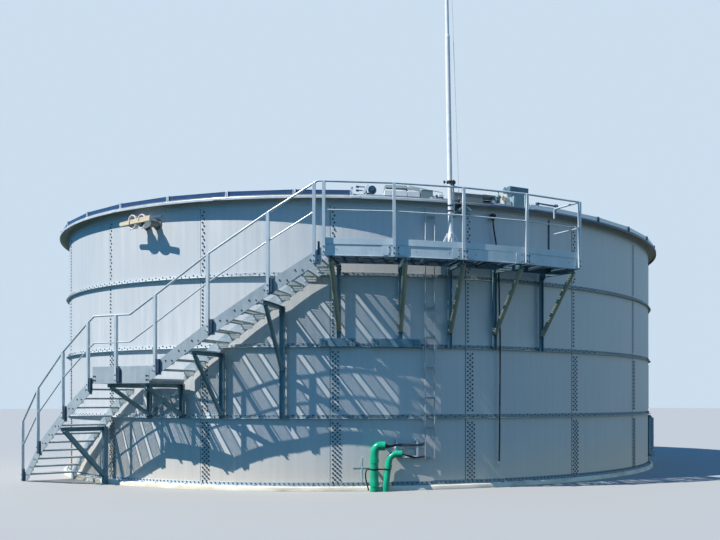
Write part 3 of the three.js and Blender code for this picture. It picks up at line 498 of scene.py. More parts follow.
bolt_tree, given, out = new_tree(
    "bolt_heads", ("Washer radius", "Float"), ("Washer height", "Float"), ("Head radius", "Float"),
    ("Head height", "Float"), ("Finish", "Material"))
washer, head = (wire(bolt_tree, "GeometryNodeMeshCylinder", {
    "Vertices": sides, "Radius": given[f"{part} radius"], "Depth": given[f"{part} height"]}).outputs["Mesh"]
    for part, sides in (("Washer", 8), ("Head", 6)))
lift = wire(bolt_tree, "ShaderNodeCombineXYZ", {"Z": maths(bolt_tree, "MULTIPLY", given["Head height"], 0.5)})
lifted = wire(bolt_tree, "GeometryNodeTransform", {"Geometry": head, "Translation": lift.outputs[0]})
facing = wire(bolt_tree, "GeometryNodeInputNamedAttribute", {"Name": "outwards"}, data_type="FLOAT_VECTOR")
tilt = wire(bolt_tree, "FunctionNodeAlignRotationToVector", {"Vector": facing.outputs["Attribute"]}, axis="Z")
heads = wire(bolt_tree, "GeometryNodeInstanceOnPoints", {
    "Points": given["Geometry"], "Instance": joined(bolt_tree, washer, lifted.outputs["Geometry"]),
    "Rotation": tilt.outputs["Rotation"]})
end_tree(bolt_tree, given, out, heads.outputs["Instances"])
bolt_steel = plain_finish("bolt_steel", (0.04, 0.06, 0.075), (0.10, 0.13, 0.15), 0.3, (0.35, 0.55), 30)


def loose_points(name, points, label, vectors):
    """A mesh of points alone, each with a vector of its own under a label"""
    mesh = bpy.data.meshes.new(name)
    mesh.from_pydata(points, [], [])
    values = mesh.attributes.new(label, "FLOAT_VECTOR", "POINT")
    values.data.foreach_set("vector", [c for vector in vectors for c in vector])
    return mesh


def bolts(name, places, washer, head, material=bolt_steel):
    """Bolt heads at places of (point, outward direction), each size a (radius, height)"""
    mesh = loose_points(name, [point for point, _ in places], "outwards", [away for _, away in places])
    piece = grow(name, bolt_tree, mesh, {
        "Washer radius": washer[0], "Washer height": washer[1],
        "Head radius": head[0], "Head height": head[1], "Finish": material})
    fit(piece, "galvanised_steel")


def on_wall(radius, angle, z):
    """A place for a bolt on an upright round face, looking straight out"""
    return polar(radius, angle, z), polar(1.0, angle)


first_column = 0.040
ring_cover = 0.075
seam_rows = ((4, 0.042, 0.080), (3, 0.046, 0.080), (1, 0.0, 0.070), (2, 0.030, 0.124))
for course_index, (columns, spacing, pitch) in enumerate(seam_rows):
    low = slab_height + course_index * course_height + ring_cover
    high = low + course_height - 2 * ring_cover - 0.06
    places = []
    for seam in range(plates_around):
        for col in range(columns):
            angle = seam_line + seam * plate_angle + arc(first_column + spacing * col, shell_radius)
            z = low + (col % 2) * pitch / 2
            while z < high:
                places.append(on_wall(shell_radius + 0.001, angle, z))
                z += pitch
    bolts(f"seam_bolts_{course_index + 1}", places, (0.018, 0.004), (0.014, 0.013))


# The girder rings are galvanised angles rolled to the wall, an upright leg bolted through the
# plates' level joints and a level leg outwards. They come in eighteen lengths with splice plates.
# The upright legs carry painted light: pale on the tank's left, where the sun falls on them, and a
# painted shade of dark teal further round.
def steel_finish(name, dark, light, metallic, roughness, spangle=55):
    """Weathered hot-dip galvanised steel: a spangle, cloudy tones and dull runs down it"""
    material, tree, shader, place = new_finish(name, metallic, roughness[0])
    cells = wire(tree, "ShaderNodeTexVoronoi", {"Vector": place, "Scale": spangle})
    flecks = wire(tree, "ShaderNodeRGBToBW", {"Color": cells.outputs["Color"]}).outputs[0]
    clouds = grain(tree, place, 3.0, 5.0)
    runs = grain(tree, place, 9.0, 4.0, (1, 1, 0.12))
    tone = weighted(tree, (flecks, 0.22), (clouds, 0.45), (runs, 0.33))
    paint(tree, shader, tones(tree, tone, (0.15, dark), (0.9, light)))
    roughen(tree, shader, tone, *roughness)
    emboss(tree, shader, flecks, 0.0003, 0.4)
    return material


def axis_distance(tree):
    """A point's distance from the tank's axis"""
    spot = axes(tree)
    level_spot = wire(tree, "ShaderNodeCombineXYZ", {"X": spot["X"], "Y": spot["Y"]})
    return wire(tree, "ShaderNodeVectorMath", {0: level_spot.outputs[0]}, operation="LENGTH").outputs["Value"]


def bare_steel(finish):
    """A finish's tree and shader, and its steel's colour, to lay stains over"""
    shader = finish.node_tree.nodes["Principled BSDF"]
    return finish.node_tree, shader, shader.inputs["Base Color"].links[0].from_socket


ring_finish = steel_finish("ring_galvanising", (0.40, 0.47, 0.48), (0.62, 0.67, 0.66), 0.25, (0.32, 0.5))
tree, shader, steel = bare_steel(ring_finish)
# Painted light: the legs' pale tone on the left stands in for sunlight, and their dark teal on the right for
# shade.
painted_shade_teal = blend(tree, 0.62, steel, (0.07, 0.13, 0.18, 1))
leg_colour = blend(tree, ramp_along(tree, axes(tree)["X"], -3.6, -0.6), (0.60, 0.66, 0.69, 1), painted_shade_teal)
paint(tree, shader, blend(tree, ramp_along(tree, axis_distance(tree), 7.040, 7.056), leg_colour, steel))
ring_steel, ring_reach, ring_leg, ring_drop = 0.006, 0.060, 0.070, 0.065
leg_radius = shell_radius + 0.001
leg_face = leg_radius + ring_steel
splice_width, splice_angle = 0.36, -39.0
splice_half = arc(splice_width / 2, shell_radius)


def angle_profile(bottom, reach):
    """An angle's section: its level leg at the bottom with a rounded tip, its upright leg inside"""
    return [(leg_radius, bottom), (reach - 0.002, bottom), (reach, bottom + 0.002),
            (reach, bottom + ring_steel - 0.002), (reach - 0.002, bottom + ring_steel),
            (leg_face + 0.004, bottom + ring_steel), (leg_face + 0.001, bottom + ring_steel + 0.001),
            (leg_face, bottom + ring_steel + 0.004), (leg_face, bottom + ring_leg - 0.002),
            (leg_face - 0.002, bottom + ring_leg), (leg_radius, bottom + ring_leg)]


def ring_bottom(course):
    return slab_height + course * course_height - ring_drop


for label, course in (("lower", 1), ("middle", 2), ("upper", 3)):
    ring_shape, splice_shape = Shape(), Shape()
    bottom = ring_bottom(course)
    reach = shell_radius + ring_reach
    turned_ring(ring_shape, angle_profile(bottom, reach))
    finished(f"ring_{label}", ring_shape, ring_finish, f"wind_girder_{label}")
    for inner, outer, low, high in (
            (leg_face, leg_face + 0.005, bottom + 0.014, bottom + ring_leg - 0.003),
            (leg_radius + 0.014, reach - 0.004, bottom + ring_steel, bottom + ring_steel + 0.005)):
        turned_ring(splice_shape, [(inner, low), (outer, low), (outer, high), (inner, high)],
                    -splice_half, splice_half)
    turned_copies(f"ring_splices_{label}", splice_shape, ring_finish, plates_around, splice_angle,
                  plate_angle)

ring_bolt = ((0.014, 0.004), (0.0105, 0.011))
ring_pitch = 0.088
ring_bolt_count = round(2 * pi * shell_radius / ring_pitch)
ring_bolts = [on_wall(leg_face + 0.001, i * 360 / ring_bolt_count,
                      ring_bottom(course) + (0.030 if i % 2 else 0.054))
              for course in (1, 2, 3) for i in range(ring_bolt_count)]
bolts("ring_bolts", ring_bolts, *ring_bolt)


# The base angle holds the wall down on the slab. It is galvanised too, and anchor bolts with nuts
# go down through its level leg.
up = Vector((0, 0, 1))
base_shape = Shape()
turned_ring(base_shape, angle_profile(slab_height + 0.0005, shell_radius + 0.070))
finished("base_ring", base_shape, ring_finish, "base_angle")
base_bolts, base_count = [], 504
for i in range(base_count):
    angle = i * 360 / base_count
    base_bolts.append(on_wall(leg_face + 0.001, angle, slab_height + 0.045))
    if i % 4 == 0:
        base_bolts.append((polar(shell_radius + 0.042, angle, slab_height + ring_steel + 0.001), up))
bolts("base_bolts", base_bolts, (0.014, 0.004), (0.011, 0.014))


# The eave is a rolled galvanised rim: a leg bolted to the wall, a level plate outwards and a
# rounded lip turned down, with splice plates where its lengths meet. Its hidden side is a dark
# brown, and its lip carries painted shade: dark navy on the tank's right, where it is out of the sun.
eave_finish = steel_finish("eave_galvanising", (0.42, 0.48, 0.52), (0.66, 0.70, 0.72), 0.2, (0.25, 0.42))
tree, shader, steel = bare_steel(eave_finish)
# Painted shade: the lip turns dark navy towards the tank's right, where it is out of the sun.
lip_painted_shade = blend(tree, ramp_along(tree, axes(tree)["X"], 0.8, 2.4), steel, (0.05, 0.085, 0.14, 1))
# The hidden underside, between the leg and the lip, is blended to a dark brown.
dark_brown_underside = blend(tree, 0.85, steel, (0.25, 0.21, 0.155, 1))
leg_colour = blend(tree, 0.85, steel, (0.50, 0.54, 0.55, 1))
hidden = blend(tree, ramp_along(tree, axis_distance(tree), 7.015, 7.030), leg_colour, dark_brown_underside)
paint(tree, shader, blend(tree, ramp_along(tree, axis_distance(tree), 7.174, 7.180), hidden, lip_painted_shade))
shell_top = slab_height + course_count * course_height
eave_top = shell_top + 0.060
eave_radius, eave_lip, eave_leg, lip_round = 7.190, 0.050, 0.080, 0.014


def lip_corners(radius, first, last, steps=5):
    """Corners around the lip's middle, by angles from outwards towards up"""
    turns = [radians(first + (last - first) * i / steps) for i in range(steps + 1)]
    return [(eave_radius - lip_round + radius * cos(turn), eave_top - lip_round + radius * sin(turn))
            for turn in turns]


eave_shape = Shape()
turned_ring(eave_shape, [
    (leg_radius, shell_top - eave_leg), (leg_face, shell_top - eave_leg),
    (leg_face, eave_top - ring_steel), (eave_radius - lip_round, eave_top - ring_steel),
    *lip_corners(lip_round - ring_steel, 90, 0), (eave_radius - ring_steel, eave_top - eave_lip),
    (eave_radius, eave_top - eave_lip), *lip_corners(lip_round, 0, 90), (leg_radius, eave_top)])
kerb_inner, kerb_outer, kerb_top = 7.118, 7.1535, eave_top + 0.024
turned_ring(eave_shape, [(kerb_inner, eave_top), (kerb_outer, eave_top), (kerb_outer, kerb_top),
                         (kerb_inner, kerb_top)], 25.0, 356.5)
finished("eave_rim", eave_shape, eave_finish, "top_rim")
strap_half, strap_steel, strap_back = 0.65, 0.004, eave_radius - 0.10
strap_shape = Shape()
turned_ring(strap_shape, [
    (strap_back, eave_top), *lip_corners(lip_round, 90, 0),
    (eave_radius, eave_top - eave_lip + 0.008), (eave_radius + strap_steel, eave_top - eave_lip + 0.008),
    *lip_corners(lip_round + strap_steel, 0, 90), (strap_back, eave_top + strap_steel)],
    -strap_half, strap_half, 0.325)
turned_copies("eave_splices", strap_shape, eave_finish, plates_around, -22.4, plate_angle)
peg_shape = Shape()
for low, high, radius in ((-0.004, 0.180, 0.016), (0.178, 0.190, 0.024)):
    peg_shape.rod(polar(6.990, -3.05, eave_top + low), polar(6.990, -3.05, eave_top + high), radius)
finished("eave_peg", peg_shape, eave_finish)
eave_bolts = [on_wall(leg_face + 0.001, i * 360 / ring_bolt_count, shell_top - 0.045)
              for i in range(ring_bolt_count)]
bolts("eave_bolts", eave_bolts, *ring_bolt, eave_finish)


# The roof is a low cone of coated steel sheets with standing seams, laid from the eave up to a
# cap plate at the middle.
roof_radius, roof_rise = 7.120, 0.570
roof_edge = eave_top + 0.045
cap_radius = 0.600
panel_angle, panel_start = 10.0, -41.0
panel_half = panel_angle / 2
sheet_depth = 0.040
seam_half, seam_rise = 0.012, 0.030
roof_finish = steel_finish("roof_coating", (0.36, 0.43, 0.45), (0.50, 0.56, 0.58), 0.1, (0.45, 0.6), 20)


def roof_height(radius):
    return roof_edge + roof_rise * (roof_radius - radius) / (roof_radius - cap_radius)


sheet_shape = Shape()
for r0, r1 in ((cap_radius, 2.4), (2.4, 4.75), (4.75, roof_radius)):
    lap, raised = (0.02, 0.002) if r0 > cap_radius else (0.0, 0.0)
    sheet_shape.loft([[polar(r, a, h) for a, h in (
        (-panel_half, roof_height(r) + lift), (panel_half, roof_height(r) + lift),
        (panel_half, roof_height(r) - sheet_depth), (-panel_half, roof_height(r) - sheet_depth))]
        for r, lift in ((r0 - lap, raised), (r1, 0.0))])
seam = []
for r in (cap_radius + 0.05, roof_radius - 0.01):
    aside = arc(seam_half, r)
    base = roof_height(r) - 0.004
    seam.append([polar(r, panel_half + a, h) for a, h in (
        (-aside, base), (aside, base), (aside, base + seam_rise), (-aside, base + seam_rise))])
sheet_shape.loft(seam)
for sector in range(6):
    turned_copies(f"roof_sheets_{sector + 1}", sheet_shape, roof_finish, 6,
                  panel_start + sector * 60 + panel_half, panel_angle,
                  f"roof_sector_{sector + 1}", slot="roof_steel")

cap_shape = Shape()
cap_bottom = roof_edge + roof_rise + 0.0006
cap_outline = ((0.0, 0.0), (0.645, 0.0), (0.650, 0.004), (0.648, 0.020), (0.30, 0.042), (0.05, 0.057),
               (0.0, 0.058))
cap_shape.loft([[polar(max(r, 0.001), 10 * i, cap_bottom + z) for i in range(36)] for r, z in cap_outline])
finished("roof_cap_plate", cap_shape, roof_finish, "roof_cap", slot="roof_steel")
cap_bolts = [(polar(0.60, 15 * i, cap_bottom + 0.0235), up) for i in range(24)]
bolts("roof_cap_bolts", cap_bolts, (0.016, 0.004), (0.012, 0.010))


# The upstand around the roof is thin bright sheet in flat strips between small posts, left open
# where the roof gear stands. Its colours are a painted reflection: dark on the left, white on the right.
upstand_radius = 7.150
upstand_bottom = eave_top + 0.0005
upstand_top = upstand_bottom + 0.105
upstand_finish, tree, shader, place = new_finish("upstand_sheet", 0.2, 0.3)
side = ramp_along(tree, axes(tree)["X"], -1.0, 3.5)
# Painted reflection: the strips go from dark navy on the tank's left to white on its right.
paint(tree, shader, tones(tree, side, (0.0, (0.035, 0.085, 0.20)), (0.45, (0.06, 0.12, 0.24)),
                          (0.75, (0.80, 0.82, 0.84))))
roughen(tree, shader, grain(tree, place, 5), 0.22, 0.36)
strip_half = panel_half - 0.12
fold = 0.012
open_first, open_last = -3.0, 24.2


def upstand_strip(shape, first, last, middle=0.0):
    """A flat strip between two angles, on the panel with the given middle"""
    loops = []
    for a in (first, last):
        flat = upstand_radius * cos(radians(panel_half)) / cos(radians(a - middle))
        loops.append([polar(r + flat - upstand_radius, a, z) for r, z in (
            (upstand_radius - 0.002, upstand_bottom), (upstand_radius - 0.002, upstand_top - fold),
            (upstand_radius, upstand_top - fold + 0.001), (upstand_radius, upstand_top),
            (upstand_radius - 0.030, upstand_top), (upstand_radius - 0.030, upstand_top - 0.003),
            (upstand_radius - 0.006, upstand_top - 0.003), (upstand_radius - 0.006, upstand_bottom))])
    shape.loft(loops)


strip_shape, end_strips = Shape(), Shape()
upstand_strip(strip_shape, -strip_half, strip_half)
turned_copies("upstand_strips", strip_shape, upstand_finish, 32, 34.0, panel_angle, "roof_upstand", flat=True)
upstand_strip(end_strips, -6 - strip_half, open_first, -6)
upstand_strip(end_strips, open_last, 24 + strip_half, 24)
finished("upstand_end_strips", end_strips, upstand_finish)


def front_place(angle, x, y, z):
    """A point by its places across, outwards and up at the tank's front, then turned about it"""
    return Matrix.Rotation(radians(angle), 3, "Z") @ Vector((x, -y, z))


def box(shape, across, outwards, up, angle=0.0):
    """A block at the front of the tank, by its ranges across, outwards and up, then turned"""
    shape.loft([[front_place(angle, x, y, z) for x, y in (
        (across[0], outwards[0]), (across[1], outwards[0]), (across[1], outwards[1]),
        (across[0], outwards[1]))]
        for z in up])


# Painted light and shade: the posts are white on the tank's left, in the sun, and near black on its right, in
# shade.
post_paint, tree, shader, place = new_finish("upstand_posts", 0.1, 0.45)
paint(tree, shader, blend(tree, ramp_along(tree, axes(tree)["X"], 3.2, 4.0), (0.74, 0.77, 0.79, 1),
                          (0.05, 0.08, 0.12, 1)))
emboss(tree, shader, grain(tree, place, 200), 0.0004)


def upstand_post(shape, seat, angle=0.0):
    """A small channel post with its foot, on a strip at a distance from the axis"""
    for x, y, z in (((-0.024, -0.018), (-0.038, 0.018), 0.008), ((0.018, 0.024), (-0.038, 0.018), 0.008),
                    ((-0.018, 0.018), (-0.005, 0.001), 0.008), ((-0.048, 0.048), (-0.038, 0.024), 0.006)):
        top = upstand_top + z if z > 0.006 else upstand_bottom + z
        box(shape, x, (seat + y[0], seat + y[1]), (upstand_bottom, top), angle)


post_shape, end_posts = Shape(), Shape()
upstand_post(post_shape, upstand_radius)
turned_copies("upstand_posts", post_shape, post_paint, 33, 29.0, panel_angle, slot="white_paint", flat=True)
for angle, middle in ((open_first, -6.0), (open_last, 24.0)):
    upstand_post(end_posts, upstand_radius * cos(radians(panel_half)) / cos(radians(angle - middle)), angle)
finished("upstand_end_posts", end_posts, post_paint, slot="white_paint")


# The flights' side plates are galvanised flat plates, 240 mm deep, bent at every fourth step to
# follow the wall. The outer one carries the rail, and both carry the treads on bolts.
stair_finish = steel_finish("stair_galvanising", (0.26, 0.33, 0.37), (0.44, 0.50, 0.54), 0.15, (0.3, 0.48))
walk_outer = 8.000
walk_inner = 7.130
rise = 0.165
side_steel = 0.008
lower_foot, lower_start, lower_step, lower_count = -59.4, -58.6, 1.8727, 11
landing_start = lower_start + lower_count * lower_step
landing_end, upper_step, upper_count = -28.2, 1.85, 12
platform_start = landing_end + upper_count * upper_step
bay_angle, bay_count = 8.5, 4
platform_end = platform_start + bay_count * bay_angle
landing_top = rise * (lower_count + 1)
deck_top = landing_top + rise * (upper_count + 1)
lower_kinks = [lower_foot, lower_start + 4 * lower_step, lower_start + 8 * lower_step, landing_start]
upper_kinks = [landing_end + step * upper_step for step in (0, 4, 8, 12)]
platform_kinks = [platform_start + bay * bay_angle for bay in range(bay_count + 1)]
walk_kinks = [*lower_kinks, *upper_kinks, *platform_kinks[1:]]


def walk_line(radius, angle):
    """The distance from the axis of a line of the walkway, which is straight between its kinks"""
    i = 0
    while i + 2 < len(walk_kinks) and angle > walk_kinks[i + 1]:
        i += 1
    first, last = walk_kinks[i], walk_kinks[i + 1]
    return radius * cos(radians((last - first) / 2)) / cos(radians(angle - (first + last) / 2))


def bent_plate(shape, line, faces, stops):
    """A plate along a line of the walkway: its faces' distances from it, and (angle, low, high) stops"""
    shape.loft([[polar(walk_line(line, angle) + faces[i], angle, z)
                 for i, z in ((0, low), (0, high), (1, high), (1, low))] for angle, low, high in stops])


def lower_nosing(angle):
    return rise * (1 + (angle - lower_start) / lower_step)


def upper_nosing(angle):
    return landing_top + rise * (1 + (angle - landing_end) / upper_step)


side_depth = 0.240
side_cover = 0.030
joint_gap = 0.02
plate_faces = {walk_outer: (0.0, -side_steel), walk_inner: (0.0, side_steel)}
ground_angle = lower_start + lower_step * ((side_depth - side_cover) / rise - 1)
flights = {
    "lower": (lower_nosing, [lower_foot + joint_gap, ground_angle, *lower_kinks[1:-1],
                             landing_start - joint_gap]),
    "upper": (upper_nosing, [landing_end + joint_gap, *upper_kinks[1:-1], platform_start - joint_gap]),
}
for label, (nosing, angles) in flights.items():
    side_shape = Shape()
    stops = [(a, max(nosing(a) + side_cover - side_depth, 0.0), nosing(a) + side_cover) for a in angles]
    for line, faces in plate_faces.items():
        bent_plate(side_shape, line, faces, stops)
    nodes = [f"stair_flight_{label}_{i}" for i in (1, 2, 3)]
    finished(f"flight_{label}_sides", side_shape, stair_finish, *nodes, edge=0.0015)


# The treads are planks of folded sheet, punched full of holes, their edges turned down and in.
# End plates bolt each one to the side plates.
plank_tree, given, out = new_tree(
    "punched_planks", ("Holes along", "Int"), ("Holes across", "Int"), ("Pitch along", "Float"),
    ("Pitch across", "Float"), ("Hole", "Vector"), ("Sheet", "Float"), ("Finish", "Material"))
outline = wire(plank_tree, "GeometryNodeCurvePrimitiveQuadrilateral", {
    "Width": given["Pitch along"], "Height": given["Pitch across"]})
circle = wire(plank_tree, "GeometryNodeCurvePrimitiveCircle", {"Resolution": 6, "Radius": 1.0})
hole = wire(plank_tree, "GeometryNodeTransform",
            {"Geometry": circle.outputs["Curve"], "Scale": given["Hole"]})
cell = wire(plank_tree, "GeometryNodeFillCurve", {
    "Curve": joined(plank_tree, outline.outputs["Curve"], hole.outputs[0])})
length, width = (maths(plank_tree, "MULTIPLY", maths(
    plank_tree, "SUBTRACT", given[f"Holes {way}"], 1.0), given[f"Pitch {way}"])
    for way in ("along", "across"))
grid = wire(plank_tree, "GeometryNodeMeshGrid", {
    "Size X": length, "Size Y": width,
    "Vertices X": given["Holes along"], "Vertices Y": given["Holes across"]})
cells = wire(plank_tree, "GeometryNodeInstanceOnPoints", {
    "Points": grid.outputs["Mesh"], "Instance": cell.outputs[0]})
loose = wire(plank_tree, "GeometryNodeRealizeInstances", {"Geometry": cells.outputs["Instances"]})
punched = wire(plank_tree, "GeometryNodeMergeByDistance", {"Geometry": loose.outputs[0], "Distance": 0.0002})
raised = wire(plank_tree, "GeometryNodeExtrudeMesh", {
    "Mesh": punched.outputs[0], "Offset Scale": given["Sheet"], "Individual": False})
underside = wire(plank_tree, "GeometryNodeFlipFaces", {"Mesh": punched.outputs[0]})
welded = wire(plank_tree, "GeometryNodeMergeByDistance", {
    "Geometry": joined(plank_tree, raised.outputs["Mesh"], underside.outputs["Mesh"]), "Distance": 0.0002})
turns = wire(plank_tree, "GeometryNodeInputNamedAttribute", {"Name": "turn"}, data_type="FLOAT_VECTOR")
planks = wire(plank_tree, "GeometryNodeInstanceOnPoints", {
    "Points": given["Geometry"], "Instance": welded.outputs[0], "Rotation": turns.outputs["Attribute"]})
end_tree(plank_tree, given, out, planks.outputs["Instances"])

pitch_along, pitch_across, sheet_steel = 0.017, 0.036, 0.003
holes_along, holes_across, plank_hole = 48, 6, (0.0077, 0.0162, 1.0)
field_length, field_width = holes_along * pitch_along, holes_across * pitch_across
plank_depth, plank_return = 0.030, 0.012


def plank_frame(shape, middle, lengthwise, length, width):
    """What surrounds a plank's punched field: its folded long edges and its end strips"""
    sideways = up.cross(lengthwise)
    half, edge = width / 2, field_width / 2
    fold = [(half, -plank_depth), (half, 0.0), (edge, 0.0), (edge, -sheet_steel),
            (half - sheet_steel, -sheet_steel), (half - sheet_steel, sheet_steel - plank_depth),
            (half - plank_return, sheet_steel - plank_depth), (half - plank_return, -plank_depth)]
    for side in (-1, 1):
        shape.loft([[middle + lengthwise * end * length / 2 + sideways * side * w + up * z for w, z in fold]
                    for end in (-1, 1)])
    for end in (-1, 1):
        shape.loft([[middle + lengthwise * end * along + sideways * w + up * z for w, z in (
            (-edge, 0.0), (edge, 0.0), (edge, -sheet_steel), (-edge, -sheet_steel))]
            for along in (field_length / 2, length / 2)])


def punched_planks(name, places, finish, width):
    """Planks across the walkway at (angle, top) places, with their punched fields"""
    frames, middles, turns = Shape(), [], []
    for angle, top in places:
        inner = walk_line(walk_inner, angle) + side_steel + 0.006
        outer = walk_line(walk_outer, angle) - side_steel - 0.006
        middle = polar((inner + outer) / 2, angle, top)
        plank_frame(frames, middle, polar(1.0, angle), outer - inner, width)
        middles.append(middle - up * sheet_steel)
        turns.append((0.0, 0.0, radians(angle - 90)))
    fields = grow(f"{name}_fields", plank_tree, loose_points(name, middles, "turn", turns), {
        "Holes along": holes_along, "Holes across": holes_across, "Pitch along": pitch_along,
        "Pitch across": pitch_across, "Hole": plank_hole, "Sheet": sheet_steel, "Finish": finish})
    fit(fields, "galvanised_steel")
    return frames


def side_bolt(angle, z, aside):
    """A place for a bolt on the outside of the walkway's outer plates"""
    face = walk_line(walk_outer, angle) + 0.001
    return polar(face, angle, z) + aside * polar(1.0, angle + 90), polar(1.0, angle)


tread_finish = steel_finish("tread_galvanising", (0.42, 0.49, 0.51), (0.66, 0.70, 0.71), 0.15, (0.35, 0.5))
tread_width, end_plate_drop = 0.246, 0.105
stair_bolt = ((0.016, 0.004), (0.0125, 0.010))
tread_bolts = []
for label, start, step, count, base in (("lower", lower_start, lower_step, lower_count, 0.0),
                                        ("upper", landing_end, upper_step, upper_count, landing_top)):
    places = [(start + (k + 0.5) * step, base + rise * (k + 1)) for k in range(count)]
    tread_shape = punched_planks(f"treads_{label}", places, tread_finish, tread_width)
    for angle, top in places:
        for line, inside in ((walk_outer, -1), (walk_inner, 1)):
            face = walk_line(line, angle) + inside * side_steel
            back = sorted((face, face + inside * 0.006))
            box(tread_shape, (-0.105, 0.105), back, (top - end_plate_drop, top - 0.004), angle)
        tread_bolts += [side_bolt(angle, top - 0.030, aside) for aside in (-0.062, 0.062)]
    finished(f"treads_{label}", tread_shape, tread_finish)
bolts("tread_bolts", tread_bolts, *stair_bolt)


# The landing between the flights is a frame of folded plates with five planks across it. Its toe
# plate is bolted at both ends to the flights' side plates.
landing_bottom, landing_toe = landing_top - 0.080, 2.200
landing_flange = landing_bottom + 0.006
landing_shape = Shape()
for line, faces, high in ((walk_outer, plate_faces[walk_outer], landing_toe),
                          (walk_outer, (-side_steel, -0.045), landing_flange),
                          (walk_inner, plate_faces[walk_inner], landing_top),
                          (walk_inner, (side_steel, 0.045), landing_flange)):
    bent_plate(landing_shape, line, faces, [
        (a, landing_bottom, high) for a in (landing_start + joint_gap, landing_end - joint_gap)])
landing_first, landing_last = landing_start + 0.35, landing_end - 0.35
for angle in (landing_first, (landing_start + landing_end) / 2, landing_last):
    span = (walk_line(walk_inner, angle) + side_steel, walk_line(walk_outer, angle) - side_steel)
    box(landing_shape, (-0.004, 0.004), span, (landing_bottom, landing_top - plank_depth - 0.002), angle)
    box(landing_shape, (-0.004, 0.036), span, (landing_bottom, landing_flange), angle)
landing_places = [(landing_start + (i + 0.5) * (landing_end - landing_start) / 5, landing_top)
                  for i in range(5)]
landing_planks = punched_planks("landing_planks", landing_places, tread_finish, 0.236)
finished("landing_planks", landing_planks, tread_finish)
finished("landing", landing_shape, stair_finish, "stair_landing", edge=0.0015)
toe_bolts = [side_bolt(angle, landing_bottom + lift, aside) for angle in (landing_first, landing_last)
             for lift in (0.06, 0.13) for aside in (-0.02, 0.02)]
bolts("landing_bolts", toe_bolts, *stair_bolt)


# The platform's deck is eighteen planks across two edge channels and cross beams, all galvanised
# and painted a dark blue-grey as painted shade, since the deck is seen from below, in its own shade.
# Each bay is straight, and the bays are mitred to follow the wall.
# Painted shade: the deck's dark blue-grey stands in for the shade on its underside.
deck_painted_shade = steel_finish("deck_galvanising", (0.05, 0.11, 0.16), (0.12, 0.20, 0.27), 0.3, (0.4, 0.55))
edge_bottom, edge_top = 4.010, 4.306
web_foot, flange_top = edge_bottom + 0.001, edge_bottom + 0.008
plank_seat = deck_top - plank_depth
deck_shape = Shape()
for line, faces, low, high in ((walk_inner, (0.010, 0.018), web_foot, plank_seat),
                               (walk_inner, (0.018, 0.060), web_foot, flange_top),
                               (walk_inner, (0.000, 0.010), plank_seat, deck_top),
                               (walk_outer, (-0.060, -0.052), web_foot, plank_seat),
                               (walk_outer, (-0.052, -0.014), web_foot, flange_top)):
    bent_plate(deck_shape, line, faces, [(a, low, high) for a in platform_kinks])
for beam_index in range(bay_count * 2 + 1):
    angle = platform_start + beam_index * bay_angle / 2
    angle += 0.4 if beam_index == 0 else -0.4 if beam_index == 2 * bay_count else 0.0
    span = (walk_line(walk_inner, angle) + 0.018, walk_line(walk_outer, angle) - 0.060)
    box(deck_shape, (-0.004, 0.004), span, (edge_bottom + 0.03, plank_seat - 0.001), angle)
    box(deck_shape, (-0.030, 0.030), span, (edge_bottom + 0.024, edge_bottom + 0.030), angle)
plank_count = 18
plank_turn = (platform_end - platform_start) / plank_count
deck_places = [(platform_start + (i + 0.5) * plank_turn, deck_top) for i in range(plank_count)]
deck_planks = punched_planks("deck_planks", deck_places, deck_painted_shade, 0.230)
finished("deck_planks", deck_planks, deck_painted_shade)
finished("platform_frame", deck_shape, deck_painted_shade, "platform_deck", edge=0.0015)


# The platform's edge shows two galvanised strips: a toe plate above the deck and the channel that
# carries it below, with splice plates where the bays meet and a return at the far end.
edge_finish = steel_finish("edge_galvanising", (0.46, 0.57, 0.63), (0.66, 0.74, 0.79), 0.12, (0.3, 0.48))
edge_shape = Shape()
edge_joint = edge_top - 0.100
for faces, low, high in (((0.0, -0.006), edge_joint, edge_top),
                         ((-0.010, -0.016), edge_bottom + 0.006, edge_joint - 0.006)):
    bent_plate(edge_shape, walk_outer, faces, [(a, low, high) for a in platform_kinks])
for low in (edge_bottom, edge_joint - 0.006):
    bent_plate(edge_shape, walk_outer, (0.0, -0.050), [(a, low, low + 0.006) for a in platform_kinks])
ends = [polar(walk_outer - 0.002, platform_end), polar(walk_inner + 0.020, platform_end)]
out_of = polar(1.0, platform_end + 90)
for low, high in ((edge_joint, edge_top), (edge_bottom, edge_joint - 0.004)):
    edge_shape.loft([[end + out_of * away + up * z for away, z in (
        (0.0004, low), (0.0004, high), (0.0075, high), (0.0075, low))] for end in ends])
edge_bolts = []
for kink in platform_kinks[1:-1]:
    for side in (1, -1):
        box(edge_shape, sorted((side * 0.05, side * 0.17)), (walk_outer - 0.012, walk_outer - 0.003),
            (edge_bottom + 0.02, edge_joint - 0.02), kink + side * 0.2)
    for aside in (-0.14, -0.08, 0.08, 0.14):
        for z in (edge_bottom + 0.045, edge_joint - 0.045):
            angle = kink + arc(aside, walk_outer)
            edge_bolts.append((polar(walk_line(walk_outer, angle) - 0.006, angle, z), polar(1.0, angle)))
finished("platform_edge_plates", edge_shape, edge_finish, "platform_edge", edge=0.001)
bolts("platform_edge_bolts", edge_bolts, *stair_bolt)


# The brackets stand on the rings: a galvanised channel against the wall, an arm out under the
# walkway and a stout round tube as a strut, joined by gusset plates and bolts.
frame_finish = steel_finish("frame_galvanising", (0.10, 0.21, 0.27), (0.24, 0.37, 0.43), 0.40, (0.35, 0.55))
